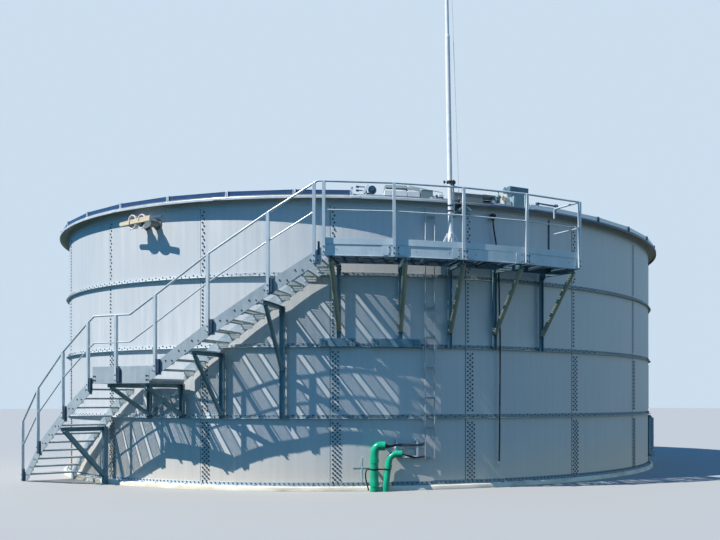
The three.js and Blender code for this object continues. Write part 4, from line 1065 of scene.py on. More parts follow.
# Painted reflection: the platform struts' khaki tone stands in for the ground reflected in their round sides.
strut_ground_reflection = steel_finish("strut_galvanising", (0.27, 0.29, 0.23), (0.42, 0.43, 0.35), 0.3, (0.35, 0.55))
channel_depth, channel_steel = 0.050, 0.006
arm_depth, arm_half, arm_steel = 0.070, 0.025, 0.006
stair_sizes, platform_sizes = (0.048, 0.0375), (0.036, 0.045)
foot_height, foot_steel = 0.145, 0.006
gusset_width, gusset_height = 0.10, 0.11
hair = 0.0003
frame_bolts = []
strut_shape = Shape()


def turned_loft(shape, loops, angle):
    """A loft drawn at the front of the tank, its corners (across, outwards, up), then turned"""
    shape.loft([[front_place(angle, *corner) for corner in loop] for loop in loops])


def c_section(half, top, depth, steel):
    """A channel's section, open to the right, as (across, up) corners"""
    return [(-half, top), (half, top), (half, top - steel), (steel - half, top - steel),
            (steel - half, top - depth + steel), (half, top - depth + steel),
            (half, top - depth), (-half, top - depth)]


def bracket(shape, angle, course, arm_top, strut_low, sizes, lean=0.0, foot=None):
    """One bracket on the ring at a course's top. Its arm and its strut may lean aside, turned about
    the channel's front. A foot is a wide plate on the ring, between two places across. The
    platform's struts are gathered in a piece of their own, for their khaki colour, which is a painted
    reflection of the ground."""
    channel_half, strut_radius = sizes
    inside = channel_half - channel_steel
    low = ring_bottom(course) - 0.005
    back = shell_radius + ring_reach + 0.001
    front = back + channel_depth
    arm_end = walk_line(walk_outer, angle) - 0.002

    def leaning(x, y, z):
        aside = Matrix.Rotation(radians(lean), 3, "Z") @ Vector((x, front - y, 0))
        return front_place(angle, aside.x, front - aside.y, z)

    turned_loft(shape, [[(x, y, z) for x, y in (
        (-channel_half, back), (channel_half, back), (channel_half, front), (inside, front),
        (inside, back + channel_steel), (-inside, back + channel_steel), (-inside, front),
        (-channel_half, front))] for z in (low, arm_top)], angle)
    shape.loft([[leaning(x, y, z) for x, z in c_section(arm_half, arm_top, arm_depth, arm_steel)]
                for y in (back + 0.011, arm_end)])
    struts = shape if course == 1 else strut_shape
    struts.rod(leaning(0, front, strut_low), leaning(0, arm_end - 0.060, arm_top - arm_depth + 0.005),
               strut_radius, 20)
    y, z = front - 0.004, arm_top - arm_depth - gusset_height
    shape.loft([[leaning(x, *corner) for corner in (
        (y, z), (y + gusset_width, z + gusset_height), (y, z + gusset_height))] for x in (-0.004, 0.004)])
    for z in (strut_low - 0.03, strut_low + 0.03, arm_top - 0.05, arm_top - 0.10):
        for side in (-1, 1):
            frame_bolts.append((front_place(angle, side * channel_half, front - 0.022, z),
                                side * polar(1.0, angle + 90)))
    if foot:
        low = ring_bottom(course) + ring_steel + 0.001
        high = low + foot_height
        inner, outer = leg_face + 0.006, front + 0.015
        turned_loft(shape, [[(x, y, z) for y, z in (
            (inner, low), (outer, low), (outer, high), (inner, high), (inner, high - foot_steel),
            (outer - foot_steel, high - foot_steel), (outer - foot_steel, low + foot_steel),
            (inner, low + foot_steel))] for x in foot], angle)
        for x in (foot[0] + 0.05, foot[0] + 0.12, foot[1] - 0.12, foot[1] - 0.05):
            for z in (low + 0.045, low + 0.10):
                frame_bolts.append((front_place(angle, x, outer + 0.001, z), polar(1.0, angle)))


def beam(shape, start, end, section):
    """A bar of any section between two points, its corners (sideways, upwards) around the line"""
    along = (end - start).normalized()
    sideways = up.cross(along).normalized()
    over = along.cross(sideways)
    shape.loft([[point + sideways * s + over * u for s, u in section] for point in (start, end)])


def oblong(half, low, high):
    """The section of a flat or square bar"""
    return [(-half, low), (half, low), (half, high), (-half, high)]


def under_side(angle):
    """The height of the underside of the upper flight's side plates, less a hair"""
    return upper_nosing(angle - arc(stair_sizes[0], walk_inner)) + side_cover - side_depth - hair


low_strut_foot = 1.350
frame_shape = Shape()
brace_angle = [(-0.002, -0.027), (0.003, -0.027), (0.003, 0.022), (0.027, 0.022), (0.027, 0.027),
               (-0.002, 0.027)]
landing_legs = (-35.2, -28.9)
for leg in landing_legs:
    bracket(frame_shape, leg, 1, landing_bottom - hair, low_strut_foot, stair_sizes)
brace_line = shell_radius + ring_reach + 0.040
brace_low, brace_high = ring_bottom(1) + 0.055, landing_bottom - 0.090
for away, left_z, right_z in ((0.0, brace_low, brace_high), (0.008, brace_high, brace_low)):
    beam(frame_shape, polar(brace_line + away, landing_legs[0], left_z),
         polar(brace_line + away, landing_legs[1], right_z), brace_angle)
frame_bolts += [(polar(brace_line + 0.018, leg, z + lift - 0.018), polar(1.0, leg))
                for leg in landing_legs for z in (brace_low, brace_high) for lift in (0.012, 0.024)]
finished("landing_brackets", frame_shape, frame_finish, "landing_frame", edge=0.001)
for node, angle, strut_low in (("stair_bracket_lower", -22.1, low_strut_foot),
                               ("stair_bracket_upper", -12.9, 2.140)):
    bracket_shape = Shape()
    bracket(bracket_shape, angle, 1, under_side(angle), strut_low, stair_sizes)
    finished(f"{node}_steel", bracket_shape, frame_finish, node, edge=0.001)
high_strut_foot = 2.840
for i, (angle, lean, foot) in enumerate((
        (-4.8, -2, (-0.335, 0.285)), (3.9, 0, (-0.520, 0.360)), (11.2, 0, None), (18.3, 8, None),
        (26.7, 5.5, None))):
    bracket_shape = Shape()
    bracket(bracket_shape, angle, 2, edge_bottom - hair, high_strut_foot, platform_sizes, lean, foot)
    node = f"platform_bracket_{i + 1}"
    finished(f"{node}_steel", bracket_shape, frame_finish, node, edge=0.001)
finished("bracket_struts", strut_shape, strut_ground_reflection)


# The trestle under the lower flight is a square column on a foot plate beside the slab, with a
# cross beam under the side plates and a brace between them.
trestle_angle, trestle_half = -45.2, 0.040
trestle_back = slab_radius + 0.006
trestle_front = trestle_back + 2 * trestle_half
trestle_top = lower_nosing(trestle_angle - arc(trestle_half, walk_inner)) + side_cover - side_depth - hair
foot_top = 0.012
trestle_shape = Shape()
box(trestle_shape, (-trestle_half, trestle_half), (trestle_back, trestle_front), (foot_top, trestle_top),
    trestle_angle)
box(trestle_shape, (-0.110, 0.110), (trestle_back - 0.004, trestle_back + 0.184), (0.0, foot_top),
    trestle_angle)
beam_end = walk_line(walk_outer, trestle_angle) - 0.002
turned_loft(trestle_shape, [[(x, y, z) for x, z in c_section(0.030, trestle_top, 0.080, 0.007)]
                            for y in (trestle_front, beam_end)], trestle_angle)
beam(trestle_shape, front_place(trestle_angle, 0, trestle_front - 0.010, 0.180),
     front_place(trestle_angle, 0, walk_outer - 0.070, trestle_top - 0.060), oblong(0.0375, -0.0375, 0.0375))
turned_loft(trestle_shape, [[(x, y, z) for y, z in (
    (trestle_front, 0.10), (trestle_front + 0.07, 0.19), (trestle_front + 0.07, 0.26), (trestle_front, 0.30))]
    for x in (-0.005, 0.005)], trestle_angle)
finished("trestle", trestle_shape, frame_finish, "stair_trestle", edge=0.002)
frame_bolts += [(front_place(trestle_angle, x, y, foot_top + 0.0005), up) for x in (-0.08, 0.08)
                for y in (trestle_front + 0.03, trestle_front + 0.075)]
bolts("bracket_bolts", frame_bolts, (0.015, 0.004), (0.0115, 0.010))


# The handrails are galvanised: channel posts bolted outside the side plates, with a round tube on
# top and a thinner one half way up. Dark plates clamp the feet of the stair's posts.
rail_finish = steel_finish("rail_galvanising", (0.44, 0.53, 0.58), (0.68, 0.75, 0.79), 0.25, (0.25, 0.4), 70)
clamp_paint = plain_finish("post_clamps", (0.03, 0.055, 0.10), (0.06, 0.095, 0.15), 0.3, (0.35, 0.5), 16)
rail_radius, mid_radius, rail_drop = 0.018, 0.013, 0.475
post_half, post_reach, post_steel = 0.025, 0.050, 0.005
head_angle, head_height = -6.9, 1.155
post_bolts = []


def post_face(angle):
    return walk_line(walk_outer, angle) + 0.0035


def post(shape, angle, foot, top):
    """A channel post, its legs on the plate behind it and its web outside"""
    face, inside = post_face(angle), post_half - post_steel
    web = face + post_reach
    turned_loft(shape, [[(x, y, z) for x, y in (
        (-post_half, face), (-inside, face), (-inside, web - post_steel), (inside, web - post_steel),
        (inside, face), (post_half, face), (post_half, web), (-post_half, web))] for z in (foot, top)], angle)
    box(shape, (-post_half, post_half), (face, web), (top - 0.004, top), angle)


def rail_place(angle, top, drop=0.0):
    return polar(post_face(angle) + post_half, angle, top - drop)


def slope_line(angle):
    """The height of the line through the nosings, straight within each bay"""
    if landing_start < angle <= landing_end:
        return landing_top
    first = max(kink for kink in walk_kinks[:-1] if kink < angle)
    last = walk_kinks[walk_kinks.index(first) + 1]
    nosing = lower_nosing if angle <= landing_start else upper_nosing
    half = tan(radians((last - first) / 2))
    part = (tan(radians(angle - (first + last) / 2)) + half) / (2 * half)
    return nosing(first) + (nosing(last) - nosing(first)) * part


def handrail(name, stops, node, extra=None, clamps=True):
    """Posts at (angle, foot, top) stops with their rails, and the clamp plates at their feet. A stop
    with no foot is a bend of the rails between two posts."""
    rail_shape, clamp_shape = extra or Shape(), Shape()
    for angle, foot, top in stops:
        if foot is None:
            continue
        post(rail_shape, angle, foot, top)
        face = post_face(angle) + post_steel + 0.001
        for lift in (0.035, 0.125):
            head = front_place(angle, 0, post_face(angle) + post_reach + 0.001, foot + lift)
            post_bolts.append((head, polar(1.0, angle)))
        if clamps and angle < head_angle:
            box(clamp_shape, (post_half, post_half + 0.058), (face - 0.006, face + 0.032),
                (foot + 0.01, foot + 0.245), angle)
        rail_shape.rod(rail_place(angle, top, 0.012), rail_place(angle, top, -0.004), rail_radius + 0.004, 14)
    rail_shape.tube([rail_place(angle, top) for angle, _, top in stops], rail_radius, 16)
    rail_shape.tube([rail_place(angle, top, rail_drop) for angle, _, top in stops], mid_radius, 14)
    finished(name, rail_shape, rail_finish, node, edge=0.0015)
    if clamps:
        finished(f"{name}_clamps", clamp_shape, clamp_paint, edge=0.002)


def rail_stops(*places):
    """Stops of a handrail from (angle, drop to the foot, height) places over the line of the nosings"""
    return [(a, slope_line(a) - drop, slope_line(a) + height) for a, drop, height in places]


bend_top = landing_top + 1.110
handrail("lower_handrail", [
    (-59.2, 0.0, 1.170),
    *rail_stops((-51.9, 0.170, 1.070), (-44.3, 0.170, 1.060), (-38.6, 0.170, 1.060)),
    (-37.4, None, bend_top), (-37.0, None, bend_top)], "stair_rail_lower")
handrail("upper_handrail", [
    (-36.9975, None, bend_top), *rail_stops((-33.6, 0.060, 1.110)), (-31.2, None, bend_top),
    *rail_stops((-27.2, 0.170, 1.160), (-19.9, 0.170, 1.165), (-12.4, 0.170, 1.160),
                (head_angle, 0.170, head_height))], "stair_rail_upper")

# The post at the stair's head has a plate of its own, and its rail runs on to the platform's
rail_level = 5.235
post_insets = (0.25, 0.0, 0.0, 0.0, -0.2)
platform_stops = [(kink + inset, edge_bottom + 0.015, rail_level)
                  for kink, inset in zip(platform_kinks, post_insets)]
head_top, head_face = slope_line(head_angle) + head_height, post_face(head_angle)
head_plate = Shape()
box(head_plate, (post_half + 0.030, post_half + 0.066), (head_face - 0.006, head_face + 0.014),
    (head_top - 1.180, head_top - 0.960), head_angle)
finished("stair_end_plate", head_plate, clamp_paint, edge=0.002)
slope = slope_line(head_angle) - slope_line(head_angle - 1)
meeting = head_angle + (rail_level - head_top) / slope
end_angle = platform_stops[-1][0]
end_out = post_face(end_angle) + post_half
hook_end, hook_round = 7.300, 0.05
hook = [polar(hook_end + hook_round * (1 - sin(radians(a))), end_angle,
              rail_level - hook_round * (1 - cos(radians(a)))) for a in range(15, 91, 15)]
return_shape = Shape()
return_shape.tube([
    polar(end_out, end_angle, rail_level), polar(hook_end + hook_round, end_angle, rail_level), *hook,
    polar(hook_end, end_angle, rail_level - 0.180)], rail_radius, 16)
return_shape.tube([rail_place(head_angle, head_top), rail_place(meeting, rail_level),
                   rail_place(platform_stops[0][0], rail_level)], rail_radius, 16)
return_shape.tube([polar(out, end_angle, rail_level - rail_drop) for out in (end_out, hook_end)],
                  mid_radius, 14)
handrail("platform_handrail", platform_stops, "platform_rail", return_shape, clamps=False)
bolts("post_bolts", post_bolts, (0.014, 0.003), (0.0105, 0.008))


# The mast's foot is white painted steel: a round base on two crossed flat pads, and four square
# legs splayed up to a sleeve around the pole, welded, with a dark clamp screw in the sleeve.
white_paint = plain_finish("mast_paint", (0.66, 0.69, 0.72), (0.84, 0.86, 0.88), 0.0, (0.3, 0.45), 9)
black_plastic = plain_finish("black_fittings", (0.008, 0.010, 0.014), (0.02, 0.022, 0.028), 0.0,
                             (0.35, 0.5), 20)
mast_line, mast_angle = 7.870, 9.7
mast_lean = tan(radians(1.0))
mast_base = polar(mast_line, mast_angle, deck_top + 0.0003)


def mast_point(height, aside=0.0):
    return mast_base + Vector((aside - height * mast_lean, 0.0, height))


def pipe(shape, start, end, outer, inner, sides=24):
    """A hollow round length between two points"""
    points = [Vector(start), Vector(end)]
    outside, inside = (rings_along(points, [radius, radius], sides) for radius in (outer, inner))
    shape.loft([outside[0], outside[1], inside[1], inside[0]], closed=True)


def rods(shape, place, *rows):
    """Round bars in rows of (start, end, radius, sides), ends given as the place function takes them"""
    for start, end, *sizes in rows:
        shape.rod(place(*start), place(*end), *sizes)


foot_shape = Shape()
pad_up = (mast_base.z, mast_base.z + 0.010)
foot_shape.rod(mast_base, mast_base + up * 0.016, 0.075, 24, 0.071)
box(foot_shape, (-0.235, 0.235), (mast_line - 0.032, mast_line + 0.032), pad_up, mast_angle)
box(foot_shape, (-0.032, 0.032), (mast_line - 0.235, mast_line + 0.100), pad_up, mast_angle)
for across, outwards, reach in ((-1, 0, 0.205), (1, 0, 0.205), (0, -1, 0.205), (0, 1, 0.080)):
    out_of = front_place(mast_angle, across, outwards, 0)
    beam(foot_shape, mast_point(0.014) + out_of * reach, mast_point(0.330) + out_of * 0.054,
         oblong(0.017, -0.017, 0.017))
pipe(foot_shape, mast_point(0.016), mast_point(0.340), 0.060, 0.0425)
finished("mast_stand", foot_shape, white_paint, "mast_foot", slot="white_paint", edge=0.0015)
pad_bolts = [(front_place(mast_angle, x, mast_line + y, pad_up[1] + 0.001), up)
             for x, y in ((-0.222, 0.018), (-0.222, -0.018), (0.222, 0.018), (0.222, -0.018),
                          (0.018, -0.222), (-0.018, -0.222), (0.018, 0.088), (-0.018, 0.088))]
bolts("mast_stand_bolts", pad_bolts, (0.013, 0.003), (0.010, 0.008))


# The mast is a white painted steel pole in two lengths. A black clamp with two wing knobs holds it
# to the top rail, and it carries a thin line to its cleats and a white rod with a green ball.
mast_shape = Shape()
splice, mast_top = 3.720, 6.200
rods(mast_shape, mast_point, ((0.017,), (splice,), 0.042, 28),
     ((splice - 0.02,), (splice + 0.03,), 0.0445, 28, 0.0365),
     ((splice - 0.005,), (mast_top,), 0.0336, 24, 0.0252), ((0.670, 0.060), (1.150, 0.060), 0.012, 14),
     ((0.700, 0.030), (0.700, 0.060), 0.008, 10), ((1.130, 0.030), (1.130, 0.060), 0.008, 10))
finished("mast_pole", mast_shape, white_paint, "mast", slot="white_paint")
fittings = Shape()
clamp_height = 1.220
for height, half, radius in ((0.728, 0.010, 0.050), (0.820, 0.010, 0.050), (clamp_height, 0.022, 0.054)):
    pipe(fittings, mast_point(height - half), mast_point(height + half), radius, 0.0405)
box(fittings, (-0.014, 0.014), (mast_line + 0.046, walk_outer + 0.045),
    (rail_level + rail_radius + 0.001, mast_base.z + clamp_height), mast_angle)
rods(fittings, mast_point, ((clamp_height, -0.095), (clamp_height, 0.085), 0.007, 12))
for aside in (-0.095, 0.085):
    rods(fittings, mast_point,
         ((clamp_height - 0.024, aside), (clamp_height + 0.024, aside), 0.013, 14, 0.017),
         ((clamp_height, aside - 0.012), (clamp_height, aside + 0.012), 0.016, 14))
rods(fittings, mast_point, ((0.300, -0.058), (0.300, -0.088), 0.010, 12, 0.015),
     ((0.900, 0.030), (0.900, 0.150), 0.009, 12), ((0.874, 0.150), (0.930, 0.154), 0.012, 12, 0.017),
     ((6.125, 0.020), (6.125, 0.068), 0.008, 12))
finished("mast_fittings", fittings, black_plastic, slot="black_rubber")
line_paint = plain_finish("mast_line", (0.42, 0.47, 0.44), (0.62, 0.66, 0.62), 0.0, (0.5, 0.7), 40)
green_paint = plain_finish("green_ball", (0.10, 0.34, 0.08), (0.32, 0.62, 0.22), 0.0, (0.25, 0.4), 12)
line_shape, ball_shape = Shape(), Shape()
rods(line_shape, mast_point, ((0.915, 0.152), (6.122, 0.060), 0.004, 8))
finished("mast_taut_line", line_shape, line_paint, slot="white_paint")
ball_middle, ball_radius = mast_point(0.645, 0.060), 0.027
ball_turns = [radians(a) for a in range(2, 180, 16)]
ball_shape.loft(rings_along([ball_middle + up * ball_radius * cos(turn) for turn in ball_turns],
                            [ball_radius * sin(turn) for turn in ball_turns], 18))
finished("mast_ball", ball_shape, green_paint, slot="green_plastic")


# The cable ladder is two galvanised flat bars with rungs welded between them. Clips hold it off
# the wall on the rings.
ladder_angle, ladder_half = 8.2, 0.090
ladder_low, ladder_high = 0.550, 5.060
ladder_back = shell_radius + ring_reach + 0.0003
ladder_finish = steel_finish("ladder_galvanising", (0.36, 0.42, 0.45), (0.56, 0.61, 0.63), 0.45, (0.35, 0.5))
ladder_shape = Shape()
for side in (-1, 1):
    edges = sorted((side * ladder_half, side * (ladder_half - 0.012)))
    box(ladder_shape, edges, (ladder_back, ladder_back + 0.050), (ladder_low, ladder_high), ladder_angle)
    for course in (1, 2, 3):
        z = ring_bottom(course)
        edges = sorted((side * ladder_half, side * (ladder_half + 0.045)))
        box(ladder_shape, edges, (ladder_back, ladder_back + 0.006), (z - 0.035, z + 0.040), ladder_angle)
rung_z = ladder_low + 0.005
while rung_z < ladder_high:
    turned_loft(ladder_shape, [[(x, ladder_back + y, rung_z + z) for y, z in (
        (0.005, 0.0), (0.030, 0.0), (0.030, 0.004), (0.009, 0.004), (0.009, 0.026), (0.030, 0.026),
        (0.030, 0.030), (0.005, 0.030))] for x in (-ladder_half + 0.010, ladder_half - 0.010)], ladder_angle)
    rung_z += 0.540
finished("ladder", ladder_shape, ladder_finish, "cable_ladder", edge=0.001)


# The hatch covers are white coated steel trays over openings in the roof, with a darker joint under
# a pale lid set back on top, and a thin stay lying across them.
def roof_base(radius):
    return roof_height(radius) + 0.0006


gear_front, gear_skirt = 7.1108, 0.045


def roof_gear(shape, *blocks):
    """Blocks on the roof's edge, each (angle, width, depth, height): its front over the eave, its
    back foot on the sloping sheets. Two more numbers raise its bottom and set back its front."""
    for angle, width, depth, height, *more in blocks:
        low, set_back = more or (-gear_skirt, 0.0)
        back = gear_front - depth
        base = roof_base(back)
        box(shape, (-width / 2, width / 2), (back, gear_front - set_back), (base + low, base + height), angle)


hatch_white = plain_finish("hatch_paint", (0.62, 0.67, 0.70), (0.80, 0.84, 0.86), 0.0, (0.35, 0.5), 10)
pale_grey = plain_finish("pale_grey_paint", (0.38, 0.44, 0.43), (0.52, 0.58, 0.56), 0.05, (0.45, 0.6), 10)
seal_grey = plain_finish("seal_grey", (0.05, 0.07, 0.08), (0.09, 0.11, 0.12), 0.0, (0.6, 0.75), 20)
hatch_shape, lid_shape, seal_shape = Shape(), Shape(), Shape()
for angle, width, height in ((3.25, 0.396, 0.150), (5.80, 0.222, 0.130)):
    roof_gear(hatch_shape, (angle, width, 0.420, 0.050), (angle, width - 0.03, 0.405, 0.070, 0.049, 0.012))
    roof_gear(seal_shape, (angle, width - 0.05, 0.400, 0.090, 0.045, 0.030))
    roof_gear(lid_shape, (angle, width, 0.415, height, height - 0.055, 0.018))
finished("hatch_trays", hatch_shape, hatch_white, "hatch_covers", slot="white_paint", edge=0.004)
finished("hatch_seals", seal_shape, seal_grey, slot="black_rubber")
stay_high = polar(7.02, 5.2, roof_base(6.69) + 0.166)
stay_low = polar(7.06, 10.1, roof_base(6.91) + 0.094)
lid_shape.rod(stay_high, stay_low, 0.009, 10)
lid_shape.rod(polar(7.02, 5.2, roof_base(6.69) + 0.120), stay_high, 0.007, 10)
lid_shape.rod(polar(7.06, 10.1, roof_base(6.91) + 0.010), stay_low, 0.007, 10)
finished("hatch_lids", lid_shape, pale_grey, slot="roof_steel", edge=0.004)


# The junction box is a grey-green coated steel box, with two small white and black fittings on a
# low bracket beside it.
teal_paint = plain_finish("teal_paint", (0.16, 0.23, 0.25), (0.26, 0.34, 0.35), 0.1, (0.4, 0.55), 8)
junction_shape, small_white, small_black = Shape(), Shape(), Shape()
roof_gear(junction_shape, (7.72, 0.222, 0.200, 0.110), (7.72, 0.206, 0.190, 0.114, 0.100, -0.004),
          (9.40, 0.206, 0.190, -0.020))
finished("junction_box_case", junction_shape, teal_paint, "junction_box", slot="roof_steel", edge=0.004)
roof_gear(small_white, (8.90, 0.040, 0.110, 0.030, -0.030, 0.004), (9.85, 0.090, 0.120, 0.058, 0.010, 0.010),
          (8.45, 0.030, 0.130, -0.005, -0.040, -0.006))
roof_gear(small_black, (9.20, 0.040, 0.120, 0.040, -0.020, 0.002), (9.95, 0.060, 0.100, 0.010, -0.020, 0.006))
finished("junction_fittings_white", small_white, hatch_white, slot="white_paint", edge=0.003)
finished("junction_fittings_black", small_black, black_plastic, slot="black_rubber", edge=0.003)


# The control box is a grey enclosure with a flat front, beside a dark open box under a raised lid
# and a short valve column with a hand knob.
box_grey = plain_finish("box_grey", (0.20, 0.21, 0.21), (0.29, 0.30, 0.29), 0.05, (0.5, 0.65), 7)
control_shape = Shape()
roof_gear(control_shape, (13.95, 0.586, 0.300, 0.092), (13.95, 0.596, 0.310, 0.100, 0.085, -0.006))
finished("control_box_case", control_shape, box_grey, "control_box", slot="grey_paint", edge=0.004)
open_angle, open_half, open_steel = 17.42, 0.134, 0.006
back = gear_front - 0.260
base = roof_base(back)
skirt, lid_front, cheek_front = base - gear_skirt, gear_front - 0.03, gear_front - 0.035
opening, lid, column, nozzle = Shape(), Shape(), Shape(), Shape()
for across in ((-open_half, -open_half + open_steel), (open_half - open_steel, open_half)):
    box(opening, across, (back, gear_front), (skirt, base + 0.070), open_angle)
box(opening, (-open_half, open_half), (back, back + open_steel), (skirt, base + 0.070), open_angle)
box(opening, (-open_half, open_half), (back, gear_front), (skirt, skirt + 0.022), open_angle)
finished("open_box", opening, seal_grey, slot="grey_paint", edge=0.002)
turned_loft(lid, [[(x, y, base + lift) for y, lift in (
    (back, 0.072), (lid_front, 0.118), (lid_front, 0.126), (back, 0.080))]
    for x in (-open_half - 0.006, open_half + 0.006)], open_angle)
for x in (-open_half + 0.003, open_half - 0.003):
    turned_loft(lid, [[(x + dx, y, base + lift) for y, lift in (
        (back + 0.02, 0.066), (cheek_front, 0.066), (cheek_front, 0.120), (back + 0.02, 0.078))]
        for dx in (-0.002, 0.002)], open_angle)
finished("open_box_lid", lid, hatch_white, slot="white_paint", edge=0.002)
column_line, column_base = gear_front - 0.075, roof_base(gear_front - 0.150)


def column_place(angle, lift):
    return polar(column_line, angle, column_base + lift)


roof_gear(column, (19.15, 0.150, 0.150, -0.010))
rods(column, column_place, ((19.15, -0.012), (19.15, 0.155), 0.036, 18),
     ((19.15, 0.110), (19.15, 0.130), 0.058, 18), ((19.15, 0.150), (19.15, 0.222), 0.009, 12),
     ((19.10, 0.216), (19.10, 0.238), 0.022, 16, 0.016), ((18.2, 0.030), (19.15, 0.040), 0.026, 16))
finished("valve_column", column, teal_paint, slot="grey_paint", edge=0.002)
rods(nozzle, column_place, ((18.38, 0.032), (17.95, 0.020), 0.040, 18, 0.034))
finished("valve_nozzle", nozzle, hatch_white, slot="white_paint")


# The gauge cabinet is a narrow coated steel case with a wider head on top. Its head has a rolled
# edge and a dark stay stands beside it.
cabinet_paint = plain_finish("cabinet_paint", (0.22, 0.33, 0.37), (0.31, 0.42, 0.46), 0.1, (0.4, 0.55), 6)
head_paint = plain_finish("cabinet_head_paint", (0.10, 0.18, 0.24), (0.17, 0.26, 0.32), 0.1, (0.4, 0.55), 6)
cabinet_shape, head_shape = Shape(), Shape()
roof_gear(cabinet_shape, (22.40, 0.238, 0.240, 0.242), (22.40, 0.190, 0.200, 0.205, 0.010, -0.004),
          (23.20, 0.028, 0.100, 0.225, -0.020, -0.008))
finished("cabinet_case", cabinet_shape, cabinet_paint, "gauge_cabinet", slot="roof_steel", edge=0.004)
roof_gear(head_shape, (22.45, 0.406, 0.260, 0.326, 0.236, 0.0), (22.45, 0.414, 0.264, 0.330, 0.318, -0.004))
rods(head_shape, polar, ((7.05, 20.05, 5.585), (7.05, 20.60, 5.500), 0.007, 10),
     ((7.05, 20.60, 5.500), (7.05, 21.0, 5.520), 0.007, 10))
finished("cabinet_head", head_shape, head_paint, slot="roof_steel", edge=0.004)


# The vent is a cream coloured pipe bend on a foot plate, its open mouth turned to the left.
cream_paint = plain_finish("cream_plastic", (0.66, 0.62, 0.54), (0.82, 0.79, 0.72), 0.0, (0.4, 0.55), 8)
gear_line = gear_front - 0.150
gear_base = roof_base(gear_line - 0.110)


def gear_place(angle, lift, out_by=0.0):
    return polar(gear_line + out_by, angle, gear_base + lift)


def gear_foot(shape, angle, half, top):
    box(shape, (-half, half), (gear_line - 0.110, gear_line + 0.110),
        (gear_base - gear_skirt, gear_base + top), angle)


vent_shape = Shape()
vent_angle, vent_outer, vent_inner, bend_radius = 20.8, 0.062, 0.056, 0.072
gear_foot(vent_shape, vent_angle, 0.058, 0.012)
vent_corner = gear_place(vent_angle, 0.0, 0.06)
leftwards = polar(1.0, vent_angle - 90)
vent_run = [vent_corner + up * 0.006, vent_corner + up * 0.030]
vent_run += [vent_corner + up * (0.030 + bend_radius * sin(radians(a)))
             + leftwards * bend_radius * (1 - cos(radians(a))) for a in range(15, 91, 15)]
vent_run.append(vent_run[-1] + leftwards * 0.022)
outside, inside = (rings_along(vent_run, [radius] * len(vent_run), 20) for radius in (vent_outer, vent_inner))
vent_shape.loft(outside + inside[::-1], closed=True)
finished("vent_bend", vent_shape, cream_paint, "roof_vent", slot="white_paint", edge=0.001)


# The valve at the edge is cast iron in dark blue paint: a round body with bolted flanges, a pale
# handle aslant beside it and two short nozzles, on a foot plate.
blue_paint = plain_finish("valve_paint", (0.03, 0.07, 0.13), (0.06, 0.12, 0.20), 0.2, (0.25, 0.4), 12)
valve_shape, handle_shape = Shape(), Shape()
valve_angle, valve_lift = -0.10, 0.075
gear_foot(valve_shape, -0.6, 0.088, 0.012)
rods(valve_shape, gear_place,
     *(((valve_angle, valve_lift, near), (valve_angle, valve_lift, far), radius, 24)
       for near, far, radius in (
         (-0.05, 0.10, 0.054), (0.035, 0.055, 0.074), (0.095, 0.115, 0.066), (0.115, 0.135, 0.038))),
     ((valve_angle, 0.0, 0.06), (valve_angle, valve_lift, 0.06), 0.036, 16),
     ((valve_angle, 0.115, 0.06), (valve_angle, 0.150, 0.06), 0.020, 14, 0.012))
for lift in (0.062, 0.128):
    rods(valve_shape, gear_place, ((-1.0, lift, 0.04), (-2.15, lift, 0.04), 0.010, 12),
         ((-2.05, lift, 0.04), (-2.45, lift, 0.04), 0.022, 14, 0.018))
rods(valve_shape, gear_place, ((-1.0, 0.006, 0.04), (-1.0, 0.140, 0.04), 0.016, 14))
finished("edge_valve", valve_shape, blue_paint, "roof_valve", slot="blue_paint", edge=0.001)
beam(handle_shape, gear_place(-1.36, 0.012, 0.12), gear_place(-0.66, 0.150, 0.12),
     oblong(0.007, -0.027, 0.027))
finished("edge_valve_handle", handle_shape, hatch_white, slot="white_paint", edge=0.002)


def bolt_circle(middle, sideways, radius):
    """Eight places around a flange's middle"""
    return [middle + radius * (sideways * cos(radians(a)) + up * sin(radians(a))) for a in range(0, 360, 45)]


flange_face = gear_place(valve_angle, valve_lift, 0.1155)
flange_bolts = [(place, polar(1.0, valve_angle)) for place in bolt_circle(flange_face, polar(1.0, 90), 0.054)]
bolts("edge_valve_bolts", flange_bolts, (0.009, 0.003), (0.007, 0.006))


# The level arm is a dark blue bar along the roof's edge, hinged on a block, with a round head.
arm_shape = Shape()
arm_height = 0.106
gear_foot(arm_shape, 26.3, 0.040, 0.020)
box(arm_shape, (-0.022, 0.022), (gear_line + 0.030, gear_line + 0.090),
    (gear_base, gear_base + arm_height + 0.012), 26.3)
rods(arm_shape, gear_place, ((26.1, arm_height, 0.06), (29.95, arm_height, 0.06), 0.014, 16, 0.019),
     ((29.9, arm_height, 0.06), (30.3, arm_height, 0.06), 0.040, 20),
     ((30.3, arm_height, 0.06), (30.45, arm_height, 0.06), 0.040, 20, 0.026),
     ((26.3, arm_height, 0.01), (26.3, arm_height, 0.10), 0.010, 12))
finished("level_arm_steel", arm_shape, blue_paint, "level_arm", slot="blue_paint", edge=0.001)


